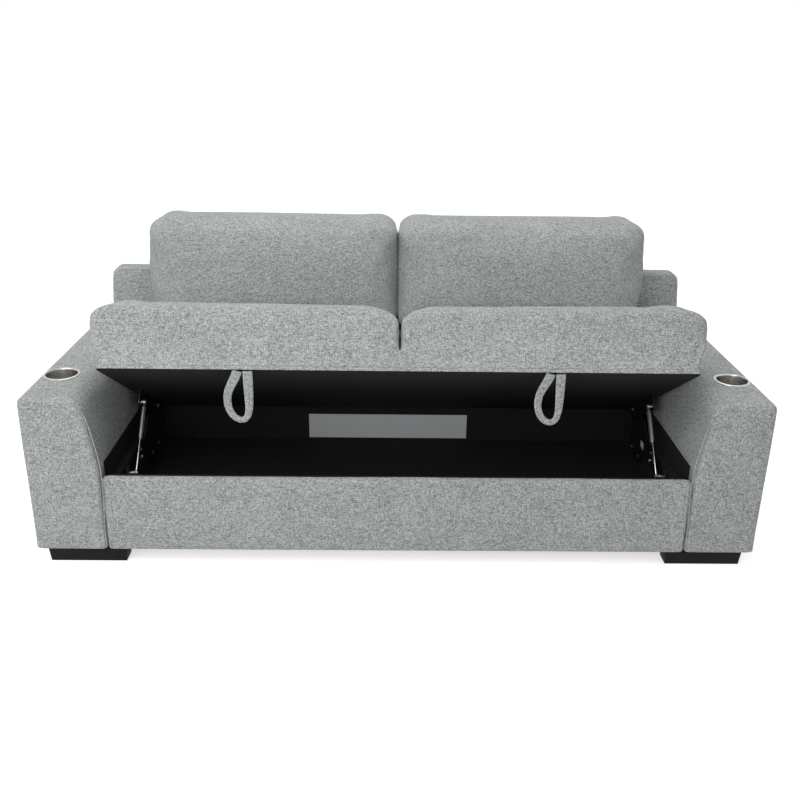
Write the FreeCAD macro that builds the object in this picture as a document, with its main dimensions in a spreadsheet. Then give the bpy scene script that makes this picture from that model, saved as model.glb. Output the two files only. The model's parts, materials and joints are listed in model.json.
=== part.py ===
import FreeCAD, Part
import math
import os

import Sketcher
from FreeCAD import Placement, Rotation, Vector

# Storage sofa with a lift up seat. Origin: middle of the footprint on the floor.
# +X runs along the sofa, +Y towards its back, +Z up. The lid is modelled shut and stored open.

DIMENSIONS = [
    ("sofa_width", 2200, "outer faces of the arms"),
    ("foot_height", 47, "underside of the frame above the floor"),
    ("soft_gap", 0.3, "play round timber in its cover and under soft pieces"),
    ("arm_width", 215, "arm, outer face to inner face at the bottom"),
    ("arm_length", 980, "arm front to back frame"),
    ("arm_height", 544, "top of the arm"),
    ("arm_batter", 35, "lean of the inner face up to the top"),
    ("batter_start", 320, "height where the inner face starts to lean"),
    ("arm_crown", 48, "round of the inner top edge"),
    ("arm_edge", 18, "round of the outer top edge"),
    ("arm_front_round", 9, "round of the front panel's edge"),
    ("arm_padding", 12, "foam and cloth over the arm frame"),
    ("arm_board", 15, "boards of the arm frame"),
    ("cup_from_side", 67, "cup centre from the arm's outer face"),
    ("cup_from_front", 200, "cup centre from the arm's front"),
    ("cup_radius", 46, "inside of the cup"),
    ("cup_wall", 1.2, "steel of the cup"),
    ("cup_depth", 72, "inside depth of the cup"),
    ("cup_flange_radius", 55, "rim that lies on the arm"),
    ("cup_flange_thickness", 2.5, "rim thickness"),
    ("cup_hole_gap", 0.6, "play of the cup in its hole"),
    ("back_thickness", 100, "back frame at the bottom"),
    ("back_height", 685, "top of the back frame"),
    ("back_lean", 13, "lean of the back in degrees"),
    ("back_edge", 20, "round of the long top edges"),
    ("back_corner", 32, "round of the top corners seen from the front"),
    ("back_padding", 14, "foam and cloth over the back frame"),
    ("back_frame_rise", 40, "back frame timber above the arms"),
    ("back_post", 60, "posts and rails of the back frame"),
    ("rail_depth", 52, "front rail, front to back"),
    ("rail_height", 250, "front rail, bottom to top"),
    ("rail_side_gap", 1, "front rail to each arm"),
    ("rail_edge", 11, "round of the rail's front edge"),
    ("rail_corner", 24, "round of the rail's top corners"),
    ("rail_padding", 16, "foam over the rail board"),
    ("rail_lining", 4, "lining behind the rail board"),
    ("well_length", 648, "front rail to the back board"),
    ("well_base", 60, "underside of the boards round the well"),
    ("side_board_thickness", 25, "side boards of the well"),
    ("side_board_height", 185, "side boards, bottom to top"),
    ("back_board_thickness", 18, "boards behind the well"),
    ("back_board_height", 200, "back board of the well, bottom to top"),
    ("lining_thickness", 1.5, "black cloth"),
    ("cross_rail_height", 28, "timbers under the floor"),
    ("cross_rail_width", 40, "timbers under the floor"),
    ("cross_rail_spacing", 500, "between the timbers"),
    ("floor_thickness", 10.5, "floor board of the well"),
    ("shelf_depth", 72, "shelf between back board and support panel"),
    ("support_top", 504.7, "top of the rail under the back cushions"),
    ("support_rail_height", 64, "rail under the back cushions"),
    ("support_round", 14, "round of that rail's front edges"),
    ("cushion_side_gap", 2, "back cushion to the plane of the arm's inner face at the bottom"),
    ("cushion_gap", 6, "between the two back cushions"),
    ("cushion_height", 414, "back cushion, bottom to top"),
    ("cushion_thickness", 270, "back cushion, rear to face"),
    ("cushion_corner", 58, "round of its corners seen from the front"),
    ("cushion_face_round", 62, "round from its face to its sides"),
    ("cushion_rear_round", 34, "round from its rear to its sides"),
    ("cushion_crown", 16, "swell of its face"),
    ("foot_width", 238, "front foot along the sofa"),
    ("foot_depth", 60, "foot, front to back"),
    ("foot_setback", 12, "foot behind the arm's front"),
    ("foot_from_side", 32, "foot from the outer face"),
    ("foot_taper", 5, "slant of the foot's sides in degrees"),
    ("screw_spacing", 80, "two screws in each foot"),
    ("screw_radius", 4, "screw shank"),
    ("screw_head_radius", 8, "screw head"),
    ("screw_head_height", 5, "screw head"),
    ("screw_recess", 14, "depth of the head's recess"),
    ("screw_grip", 12, "shank in the frame"),
    ("screw_play", 0.3, "round the screw in the foot"),
    ("lid_overhang", 55, "shut lid ahead of the arms"),
    ("lid_rear_room", 106, "rear edge of the shut lid ahead of the support panel"),
    ("lid_side_gap", 5, "lid to each arm at its underside"),
    ("lid_rest_gap", 1, "shut lid above the front rail"),
    ("lid_corner", 40, "round of the lid's corners seen from above"),
    ("lid_bottom_round", 9, "round of the lid's lower edge"),
    ("band_height", 60, "band round the lid"),
    ("band_wall", 12, "foam and cloth of the band"),
    ("lid_frame_height", 36, "timber of the lid"),
    ("lid_frame_member", 62, "width of the lid's timbers"),
    ("webbing_thickness", 2, "seat webbing"),
    ("webbing_width", 50, "seat webbing"),
    ("webbing_margin", 130, "middle of the outer webbing straps to the lid's side"),
    ("seat_height", 150, "seat cushion at its crown"),
    ("seat_split", 2, "between the two seat cushions"),
    ("seat_bulge", 8, "seat cushion outside the band at the sides"),
    ("seat_corner", 46, "round of its outer corners seen from above"),
    ("seat_split_corner", 14, "round of its corners at the split"),
    ("seat_round", 40, "round of its top edge, upwards"),
    ("seat_shoulder", 74, "round of its top edge, inwards"),
    ("seat_crown", 15, "swell of its top"),
    ("seat_draw", 4, "sides drawn in between the corners"),
    ("seat_foot_rise", 19, "height over which its foot widens"),
    ("seat_foot_inset", 2.7, "inset at that height"),
    ("seat_front_inset", 2, "inset of its underside at the front"),
    ("hinge_inset", 120, "hinge axis ahead of the back board"),
    ("hinge_drop", 15, "hinge axis below the shut lid"),
    ("lid_open_angle", 31, "travel of the lid in degrees"),
    ("pin_radius", 5, "hinge pins and strut studs"),
    ("pin_play", 0.05, "round a pin in its hole"),
    ("pin_head_radius", 9, "hinge pin head"),
    ("pin_head_height", 3, "hinge pin head"),
    ("running_gap", 0.3, "between faces that pass each other"),
    ("plate_thickness", 4, "hinge base plate"),
    ("plate_main_reach", 180, "tall part of the base plate, ahead of the hinge axis"),
    ("plate_arm_reach", 405, "low arm of the base plate, ahead of the hinge axis"),
    ("plate_drop", 165, "underside of the tall part, below the hinge axis"),
    ("plate_arm_drop", 105, "underside of the low arm, below the hinge axis"),
    ("plate_arm_height", 62, "low arm, bottom to top"),
    ("plate_ear", 11, "plate round the hinge pin"),
    ("plate_corner", 16, "other corners of the plate"),
    ("bracket_thickness", 3, "angle iron on the lid"),
    ("bracket_drop", 49, "its upright flange"),
    ("bracket_flange", 24, "its flat flange"),
    ("bracket_reach", 245, "its front end ahead of the hinge axis, lid shut"),
    ("bracket_tail", 20, "its rear end behind the hinge axis, lid shut"),
    ("bracket_corner", 10, "its rounded corners"),
    ("washer_thickness", 3, "between plate and bracket"),
    ("stud_reach", 226, "lid stud ahead of the hinge axis, lid shut"),
    ("stud_drop", 22, "lid stud below the hinge axis, lid shut"),
    ("base_stud_reach", 375, "base stud ahead of the hinge axis"),
    ("base_stud_drop", 78, "base stud below the hinge axis"),
    ("stud_collar_radius", 8, "collar of a stud"),
    ("stud_nut_radius", 8.5, "nut on the lid stud, across its corners"),
    ("strut_from_bracket", 12, "strut axis to the bracket's flange"),
    ("tube_radius", 7.5, "gas strut tube"),
    ("tube_length", 108, "gas strut tube"),
    ("tube_wall", 1.3, "gas strut tube"),
    ("tube_cap", 3, "ends of the tube"),
    ("neck_length", 18, "end fitting above the tube"),
    ("neck_radius", 4, "end fitting above the tube"),
    ("rod_radius", 4, "gas strut rod"),
    ("rod_start", 7, "rod's lower end above the axis of its eye"),
    ("rod_reach", 12, "rod inside the tube when the lid is open"),
    ("piston_play", 0.1, "piston in its tube"),
    ("rod_play", 0.08, "rod in the tube's cap"),
    ("piston_length", 7, "piston"),
    ("eye_radius", 9, "eyes of the strut"),
    ("eye_thickness", 9, "eyes of the strut"),
    ("bolt_head_radius", 7, "base plate bolts"),
    ("bolt_head_height", 3.6, "base plate bolts"),
    ("bolt_radius", 3.5, "base plate bolts"),
    ("small_screw_radius", 3, "bracket screws' heads"),
    ("small_screw_height", 2.2, "bracket screws' heads"),
    ("bolt_pair_back", 140, "front pair of base plate bolts behind the base stud"),
    ("bolt_pair_rise", 17, "upper bolt of that pair above the base stud"),
    ("bolt_pair_fall", 10, "lower bolt of that pair below the base stud"),
    ("bolt_rise", 27, "other bolts above the plate's underside"),
    ("bolt_main_back", 80, "middle bolt behind the front of the plate's tall part"),
    ("bolt_rear_inset", 15, "rear bolt ahead of the hinge axis"),
    ("strap_position", 457, "pull loop from the middle"),
    ("strap_inset", 8, "pull loop behind the lid's front edge"),
    ("strap_drop", 162, "pull loop, top to bottom"),
    ("strap_top_width", 58, "pull loop where it is sewn on"),
    ("strap_width", 80, "pull loop at its widest"),
    ("strap_band", 19, "width of the band that makes the loop"),
    ("strap_foot_band", 15, "width of that band at the bottom of the loop"),
    ("strap_slot", 3.5, "gap between the strands at the top of the loop"),
    ("strap_thickness", 7, "doubled cloth"),
    ("card_width", 590, "plain card on the back board"),
    ("card_height", 95, "plain card on the back board"),
    ("card_thickness", 0.8, "plain card on the back board"),
    ("card_lift", 8, "card above the floor"),
    ("card_shift", -30, "card's middle along the sofa"),
    ("label_width", 34, "plain label on the right base plate"),
    ("label_height", 24, "plain label on the right base plate"),
    ("label_thickness", 0.4, "plain label on the right base plate"),
    ("label_back", 30, "label behind the front of the plate's tall part"),
    ("label_rise", 15, "label above the underside of the plate's low arm"),
]

# Sizes that follow from the ones above. "back" is behind the arm fronts, "height" above the floor.
DERIVED = [
    ("hinge_back", "rail_depth + well_length - hinge_inset", "hinge axis"),
    ("hinge_height", "foot_height + rail_height + lid_rest_gap - hinge_drop", "hinge axis"),
    ("lid_length", "lid_overhang + rail_depth + well_length + back_board_thickness + shelf_depth"
                   " - lid_rear_room", "lid, front to back"),
    ("plate_main_front", "hinge_back - plate_main_reach", "front of the base plate's tall part"),
    ("plate_arm_front", "hinge_back - plate_arm_reach", "front of its low arm"),
    ("plate_bottom", "hinge_height - plate_drop", "underside of the tall part"),
    ("plate_arm_bottom", "hinge_height - plate_arm_drop", "underside of the low arm"),
    ("plate_arm_top", "plate_arm_bottom + plate_arm_height", "top of the low arm"),
    ("bracket_front", "hinge_back - bracket_reach", "front end of the angle iron, lid shut"),
    ("bracket_rear", "hinge_back + bracket_tail", "rear end of the angle iron, lid shut"),
    ("stud_back", "hinge_back - stud_reach", "lid stud, lid shut"),
    ("stud_height", "hinge_height - stud_drop", "lid stud, lid shut"),
    ("base_stud_back", "hinge_back - base_stud_reach", "base stud"),
    ("base_stud_height", "hinge_height - base_stud_drop", "base stud"),
]

doc = FreeCAD.newDocument("StorageSofa")
sheet = doc.addObject("Spreadsheet::Sheet", "Dims")
for row, (alias, value, note) in enumerate(DIMENSIONS + DERIVED, start=1):
    sheet.set("A%d" % row, note)
    sheet.set("B%d" % row, "=" + value if isinstance(value, str) else str(value))
    sheet.setAlias("B%d" % row, alias)
doc.recompute()


def size(alias):
    return float(sheet.get(alias))


# Places that several pieces share, as formulas for bound sizes and as numbers for the soft forms.
FRONT = "-(Dims.arm_length + Dims.back_thickness) / 2"
BAY = "(Dims.sofa_width / 2 - Dims.arm_width)"
RAIL_TOP = "Dims.foot_height + Dims.rail_height"
LID_UNDER = RAIL_TOP + " + Dims.lid_rest_gap"
LID_SIDE = BAY + " - Dims.lid_side_gap"
WELL_SIDE = BAY + " - Dims.side_board_thickness"
WELL_BACK = "Dims.rail_depth + Dims.well_length"
SUPPORT_FRONT = WELL_BACK + " + Dims.back_board_thickness + Dims.shelf_depth"
PLATE_FACE = WELL_SIDE + " - Dims.plate_thickness"
BRACKET_FACE = PLATE_FACE + " - Dims.washer_thickness - Dims.bracket_thickness"
WASHER_FACE = BRACKET_FACE + " + Dims.bracket_thickness"
AXIS_Y = FRONT + " + Dims.hinge_back"
STUD_Y = FRONT + " + Dims.stud_back"
CUP_X = "Dims.sofa_width / 2 - Dims.cup_from_side"
CUP_HOLE = "Dims.cup_radius + Dims.cup_wall + Dims.cup_hole_gap"
FLOOR_TOP = "Dims.well_base + Dims.cross_rail_height + Dims.floor_thickness + Dims.lining_thickness"

front = -(size("arm_length") + size("back_thickness")) / 2
bay = size("sofa_width") / 2 - size("arm_width")
rail_top = size("foot_height") + size("rail_height")
lid_under = rail_top + size("lid_rest_gap")
lid_side = bay - size("lid_side_gap")
well_back = size("rail_depth") + size("well_length")
plate_face = bay - size("side_board_thickness") - size("plate_thickness")
bracket_face = plate_face - size("washer_thickness") - size("bracket_thickness")
strut_x = bracket_face - size("strut_from_bracket")
lid_open = math.radians(size("lid_open_angle"))
SIDES = (("left", -1), ("right", 1))

finished = []


def keep(item, label):
    item.Label = label
    finished.append(item)
    return item


def bind(item, formulas):
    for name, formula in formulas.items():
        item.setExpression(name, formula)


def put(item, x="0", y="0", z="0"):
    bind(item, {".Placement.Base.x": x, ".Placement.Base.y": y, ".Placement.Base.z": z})


def block(name, low, extent):
    box = doc.addObject("Part::Box", name)
    bind(box, dict(zip(("Length", "Width", "Height"), extent)))
    put(box, *low)
    return box


def drum(name, centre, radius, height):
    cylinder = doc.addObject("Part::Cylinder", name)
    bind(cylinder, {"Radius": radius, "Height": height})
    put(cylinder, *centre)
    return cylinder


def crosswise(name, inner, y, z, radius, length, side):
    """A cylinder along X that starts at distance inner from the middle and runs outwards."""
    cylinder = doc.addObject("Part::Cylinder", name)
    bind(cylinder, {"Radius": radius, "Height": length})
    cylinder.Placement = Placement(Vector(), Rotation(Vector(0, side, 0), 90))
    put(cylinder, "%d * (%s)" % (side, inner), y, z)
    return cylinder


def less(name, base, *tools):
    cut = doc.addObject("Part::Cut", name)
    cut.Base = base
    cut.Tool = tools[0] if len(tools) == 1 else joined(name + "_tools", *tools)
    return cut


def joined(name, *items):
    fuse = doc.addObject("Part::MultiFuse", name)
    fuse.Shapes = list(items)
    return fuse


def group(name, *items):
    compound = doc.addObject("Part::Compound", name)
    compound.Links = list(items)
    return compound


def outward(side, inner, extent):
    """Low X of a box that starts at distance inner from the middle, on one side."""
    return inner if side > 0 else "-(%s) - (%s)" % (inner, extent)


def swing_open(item):
    """Carries a piece drawn with the lid shut to where it is with the lid open."""
    item.Placement = Placement(Vector(), Rotation(Vector(1, 0, 0), -size("lid_open_angle")))
    axis = "(%s + Dims.hinge_back)" % FRONT
    bind(item, {
        ".Placement.Rotation.Angle": "-Dims.lid_open_angle",
        ".Placement.Base.y": "%s * (1 - cos(Dims.lid_open_angle))"
                             " - Dims.hinge_height * sin(Dims.lid_open_angle)" % axis,
        ".Placement.Base.z": "Dims.hinge_height * (1 - cos(Dims.lid_open_angle))"
                             " + %s * sin(Dims.lid_open_angle)" % axis,
    })
    return item


def opened(y, z):
    """The place, with the lid open, of a point given with the lid shut, measured from the arm fronts."""
    dy = y - size("hinge_back")
    dz = z - size("hinge_height")
    return (size("hinge_back") + dy * math.cos(lid_open) + dz * math.sin(lid_open),
            size("hinge_height") - dy * math.sin(lid_open) + dz * math.cos(lid_open))


def sketch_in(body, role, name):
    sketch = body.newObject("Sketcher::SketchObject", name)
    plane = [item for item in body.Origin.OriginFeatures if item.Role == role][0]
    sketch.AttachmentSupport = [(plane, "")]
    sketch.MapMode = "FlatFace"
    return sketch


def pin_point(sketch, geometry, point, x, y, guess):
    for kind, formula, value in (("DistanceX", x, guess.x), ("DistanceY", y, guess.y)):
        index = sketch.addConstraint(Sketcher.Constraint(kind, -1, 1, geometry, point, value))
        sketch.setExpression("Constraints[%d]" % index, formula)


def polygon(sketch, corners):
    """A closed outline whose corners are held by formulas, given anticlockwise."""
    count = len(corners)
    first = sketch.GeometryCount
    turn = 2 * math.pi / count
    spots = [Vector(math.cos(turn * k), math.sin(turn * k), 0) for k in range(count)]
    for k in range(count):
        sketch.addGeometry(Part.LineSegment(spots[k], spots[(k + 1) % count]), False)
    for k in range(count):
        following = first + (k + 1) % count
        sketch.addConstraint(Sketcher.Constraint("Coincident", first + k, 2, following, 1))
    for k, (x, y) in enumerate(corners):
        pin_point(sketch, first + k, 1, x, y, spots[k])


def pad(body, sketch, length, reverse=False):
    feature = body.newObject("PartDesign::Pad", sketch.Name + "_pad")
    feature.Profile = sketch
    feature.setExpression("Length", length)
    feature.Reversed = reverse
    return feature


def pocket(body, sketch, depth, reverse=False):
    feature = body.newObject("PartDesign::Pocket", sketch.Name + "_pocket")
    feature.Profile = sketch
    feature.setExpression("Length", depth)
    feature.Reversed = reverse
    return feature


def turned(label, corners):
    """A body turned about its own Z axis from a closed half outline (radius, height)."""
    body = doc.addObject("PartDesign::Body", label)
    sketch = sketch_in(body, "XZ_Plane", label + "_half")
    polygon(sketch, corners)
    revolution = body.newObject("PartDesign::Revolution", label + "_turned")
    revolution.Profile = sketch
    revolution.ReferenceAxis = (sketch, ["V_Axis"])
    revolution.Angle = 360
    return body


def round_edges(body, feature, radius, wanted, name):
    """Rounds the edges of the last feature that the test picks out."""
    doc.recompute()
    picked = []
    for number, edge in enumerate(feature.Shape.Edges, start=1):
        if wanted(edge):
            picked.append("Edge%d" % number)
    fillet = body.newObject("PartDesign::Fillet", name)
    fillet.Base = (feature, picked)
    fillet.setExpression("Radius", radius)
    return fillet


def middle(edge):
    return edge.valueAt((edge.FirstParameter + edge.LastParameter) / 2)


def near(a, b):
    return abs(a - b) < 0.01


def runs_along(edge, axis):
    ends = [vertex.Point for vertex in edge.Vertexes]
    if len(ends) != 2:
        return False
    way = ends[1].sub(ends[0])
    return all(abs(part) < 0.01 for k, part in enumerate(way) if k != axis)


# Arms: a padded cover over a timber box, with a steel cup let into the top.

def arm(name, side):
    body = doc.addObject("PartDesign::Body", "arm_form_" + name)
    profile = sketch_in(body, "XZ_Plane", "arm_profile_" + name)
    inner = "%d * (%s)" % (side, BAY)
    leaned = "%d * (%s + Dims.arm_batter)" % (side, BAY)
    outer = "%d * Dims.sofa_width / 2" % side
    polygon(profile, [(inner, "Dims.foot_height"), (outer, "Dims.foot_height"), (outer, "Dims.arm_height"),
                      (leaned, "Dims.arm_height"), (inner, "Dims.batter_start")])
    base = pad(body, profile, "Dims.arm_length", reverse=True)
    top = size("arm_height")
    width = size("sofa_width") / 2
    shoulder = bay + size("arm_batter")

    def at_top(edge, x):
        spot = middle(edge)
        return runs_along(edge, 1) and near(spot.z, top) and near(abs(spot.x), x)

    crown = round_edges(body, base, "Dims.arm_crown", lambda e: at_top(e, shoulder), "arm_crown_" + name)
    edge = round_edges(body, crown, "Dims.arm_edge", lambda e: at_top(e, width), "arm_edge_" + name)

    def on_front(item):
        spot = middle(item)
        return all(near(v.Y, 0) for v in item.Vertexes) and spot.z > size("foot_height") + 1

    round_edges(body, edge, "Dims.arm_front_round", on_front, "arm_front_" + name)
    put(body, y=FRONT)

    inside = "%s + Dims.arm_batter + Dims.arm_padding" % BAY
    hollow_width = "Dims.sofa_width / 2 - Dims.arm_padding - (%s)" % inside
    hollow_top = "Dims.arm_height - Dims.arm_padding"
    hollow = block("arm_hollow_" + name,
                   (outward(side, inside, hollow_width), FRONT + " + Dims.arm_padding", "Dims.foot_height"),
                   (hollow_width, "Dims.arm_length - Dims.arm_padding", hollow_top + " - Dims.foot_height"))
    cup_place = ("%d * (%s)" % (side, CUP_X), FRONT + " + Dims.cup_from_front")
    cup_hole = drum("cup_hole_" + name, cup_place + (hollow_top + " - Dims.cup_depth",),
                    CUP_HOLE, "Dims.cup_depth + 2 * Dims.arm_padding")
    keep(less("arm_cover_" + name, body, hollow, cup_hole), "arm_cover_" + name)

    gap = "Dims.soft_gap"
    frame_in = inside + " + " + gap
    frame_width = hollow_width + " - 2 * " + gap
    frame_length = "Dims.arm_length - Dims.arm_padding - " + gap
    frame_height = "%s - Dims.foot_height - %s" % (hollow_top, gap)
    frame_front = "%s + Dims.arm_padding + %s" % (FRONT, gap)
    timber = block("arm_timber_" + name,
                   (outward(side, frame_in, frame_width), frame_front, "Dims.foot_height"),
                   (frame_width, frame_length, frame_height))
    board = "Dims.arm_board"
    room_width = "%s - 2 * %s" % (frame_width, board)
    room = block("arm_room_" + name,
                 (outward(side, frame_in + " + " + board, room_width), frame_front + " + " + board,
                  "Dims.foot_height + " + board),
                 (room_width, "%s - 2 * %s" % (frame_length, board), "%s - 2 * %s" % (frame_height, board)))
    cup_way = drum("cup_way_" + name, cup_place + (hollow_top + " - Dims.cup_depth",),
                   CUP_HOLE, "Dims.cup_depth + 2 * Dims.arm_padding")
    pilots = [drum("arm_pilot_%s_%d" % (name, number),
                   foot_screw_place(side, False, number) + ("Dims.foot_height",),
                   "Dims.screw_radius + Dims.pin_play", "Dims.screw_grip")
              for number in range(2)]
    keep(less("arm_frame_" + name, timber, room, cup_way, *pilots), "arm_frame_" + name)

    outside = "Dims.cup_radius + Dims.cup_wall"
    bottom = "-Dims.cup_depth - Dims.cup_wall"
    cup = turned("cup_holder_" + name, [
        ("0", bottom), (outside, bottom), (outside, "0"), ("Dims.cup_flange_radius", "0"),
        ("Dims.cup_flange_radius", "Dims.cup_flange_thickness"),
        ("Dims.cup_radius", "Dims.cup_flange_thickness"),
        ("Dims.cup_radius", "-Dims.cup_depth"), ("0", "-Dims.cup_depth")])
    put(cup, cup_place[0], cup_place[1], "Dims.arm_height")
    keep(cup, "cup_holder_" + name)


# Feet: tapered black blocks, each held by two countersunk screws.

def foot_middle(rear):
    if rear:
        return "-(%s) - Dims.foot_setback - Dims.foot_depth / 2" % FRONT
    return "%s + Dims.foot_setback + Dims.foot_depth / 2" % FRONT


def foot_screw_place(side, rear, number):
    across = "%s + Dims.arm_batter + Dims.sofa_width / 2" % BAY
    step = "%d * Dims.screw_spacing / 2" % (2 * number - 1)
    return ("%d * ((%s) / 2 + %s)" % (side, across, step), foot_middle(rear))


def foot(label, side, rear):
    body = doc.addObject("PartDesign::Body", label + "_form")
    sole = sketch_in(body, "XY_Plane", label + "_sole")
    half = "(Dims.foot_width / 2 - Dims.foot_height * tan(Dims.foot_taper))"
    deep = "(Dims.foot_depth / 2 - Dims.foot_height * tan(Dims.foot_taper))"
    polygon(sole, [("-" + half, "-" + deep), (half, "-" + deep), (half, deep), ("-" + half, deep)])
    block_pad = pad(body, sole, "Dims.foot_height")
    block_pad.setExpression("TaperAngle", "Dims.foot_taper")
    middle_x = "%d * (Dims.sofa_width / 2 - Dims.foot_from_side - Dims.foot_width / 2)" % side
    put(body, middle_x, foot_middle(rear), "0")
    ways = []
    for number in range(2):
        x, y = foot_screw_place(side, rear, number)
        ways.append(drum("%s_way_%d" % (label, number), (x, y, "0"),
                         "Dims.screw_radius + Dims.screw_play", "Dims.foot_height"))
        ways.append(drum("%s_recess_%d" % (label, number), (x, y, "0"),
                         "Dims.screw_head_radius + Dims.screw_play", "Dims.screw_recess"))
    return keep(less(label + "_drilled", body, *ways), label)


def foot_screw(name, place):
    end = "Dims.foot_height - Dims.screw_recess + Dims.screw_head_height + Dims.screw_grip"
    body = turned(name, [
        ("0", "0"), ("Dims.screw_head_radius", "0"), ("Dims.screw_head_radius", "Dims.screw_head_height"),
        ("Dims.screw_radius", "Dims.screw_head_height"), ("Dims.screw_radius", end), ("0", end)])
    put(body, place[0], place[1], "Dims.screw_recess - Dims.screw_head_height")
    return body


# Back: a padded cover that leans, over a timber ladder.

def back():
    body = doc.addObject("PartDesign::Body", "back_form")
    profile = sketch_in(body, "YZ_Plane", "back_profile")
    rear = "Dims.arm_length + Dims.back_thickness"
    top_front = "Dims.arm_length + (Dims.back_height - Dims.arm_height) * tan(Dims.back_lean)"
    polygon(profile, [("Dims.arm_length", "Dims.foot_height"), (rear, "Dims.foot_height"),
                      (rear, "Dims.back_height"), (top_front, "Dims.back_height"),
                      ("Dims.arm_length", "Dims.arm_height")])
    base = pad(body, profile, "Dims.sofa_width")
    top = size("back_height")

    def top_corner(edge):
        return not runs_along(edge, 0) and all(near(v.Z, top) for v in edge.Vertexes)

    corners = round_edges(body, base, "Dims.back_corner", top_corner, "back_corners")

    def top_run(edge):
        return runs_along(edge, 0) and near(middle(edge).z, top)

    round_edges(body, corners, "Dims.back_edge", top_run, "back_top_edges")
    put(body, "-Dims.sofa_width / 2", FRONT)

    pad_in = "Dims.back_padding"
    hollow_height = "Dims.arm_height + Dims.back_frame_rise - Dims.foot_height"
    hollow = block("back_hollow",
                   ("-Dims.sofa_width / 2 + " + pad_in, "%s + Dims.arm_length + %s" % (FRONT, pad_in),
                    "Dims.foot_height"),
                   ("Dims.sofa_width - 2 * " + pad_in, "Dims.back_thickness - 2 * " + pad_in, hollow_height))
    keep(less("back_cover", body, hollow), "back_cover")

    inset = "(Dims.back_padding + Dims.soft_gap)"
    depth = "Dims.back_thickness - 2 * " + inset
    frame_y = "%s + Dims.arm_length + %s" % (FRONT, inset)
    timber = block("back_timber", ("-Dims.sofa_width / 2 + " + inset, frame_y, "Dims.foot_height"),
                   ("Dims.sofa_width - 2 * " + inset, depth, hollow_height + " - Dims.soft_gap"))
    bays = 3
    window = "((Dims.sofa_width - 2 * %s - %d * Dims.back_post) / %d)" % (inset, bays + 1, bays)
    windows = [block("back_window_%d" % number,
                     ("-Dims.sofa_width / 2 + %s + Dims.back_post + %d * (%s + Dims.back_post)"
                      % (inset, number, window), frame_y, "Dims.foot_height + Dims.back_post"),
                     (window, depth, hollow_height + " - Dims.soft_gap - 2 * Dims.back_post"))
               for number in range(bays)]
    pilots = [drum("back_pilot_%s_%d" % (name, number),
                   foot_screw_place(side, True, number) + ("Dims.foot_height",),
                   "Dims.screw_radius + Dims.pin_play", "Dims.screw_grip")
              for name, side in SIDES for number in range(2)]
    keep(less("back_frame", timber, *windows, *pilots), "back_frame")


# Front rail: padded cover over a board, and the boards round the well.

def front_rail():
    body = doc.addObject("PartDesign::Body", "rail_form")
    profile = sketch_in(body, "XZ_Plane", "rail_profile")
    half = "(%s - Dims.rail_side_gap)" % BAY
    polygon(profile, [("-" + half, "Dims.foot_height"), (half, "Dims.foot_height"), (half, RAIL_TOP),
                      ("-" + half, RAIL_TOP)])
    base = pad(body, profile, "Dims.rail_depth", reverse=True)
    corners = round_edges(body, base, "Dims.rail_corner",
                          lambda e: runs_along(e, 1) and near(middle(e).z, rail_top), "rail_corners")

    def front_edge(edge):
        return all(near(v.Y, 0) for v in edge.Vertexes) and middle(edge).z > size("foot_height") + 1

    round_edges(body, corners, "Dims.rail_edge", front_edge, "rail_front_edge")
    put(body, y=FRONT)
    inset = "(Dims.rail_side_gap + Dims.rail_padding)"
    room = "Dims.rail_depth - Dims.rail_padding - Dims.rail_lining"
    hollow = block("rail_hollow",
                   ("-(%s) + %s" % (BAY, inset), FRONT + " + Dims.rail_padding", "Dims.foot_height"),
                   ("2 * %s - 2 * %s" % (BAY, inset), room, "Dims.rail_height - Dims.rail_padding"))
    keep(less("front_rail_cover", body, hollow), "front_rail_cover")
    gap = "Dims.soft_gap"
    keep(block("front_rail_board",
               ("-(%s) + %s + %s" % (BAY, inset, gap), "%s + Dims.rail_padding + %s" % (FRONT, gap),
                "Dims.foot_height"),
               ("2 * %s - 2 * %s - 2 * %s" % (BAY, inset, gap), room + " - 2 * " + gap,
                "Dims.rail_height - Dims.rail_padding - " + gap)), "front_rail_board")


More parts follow.
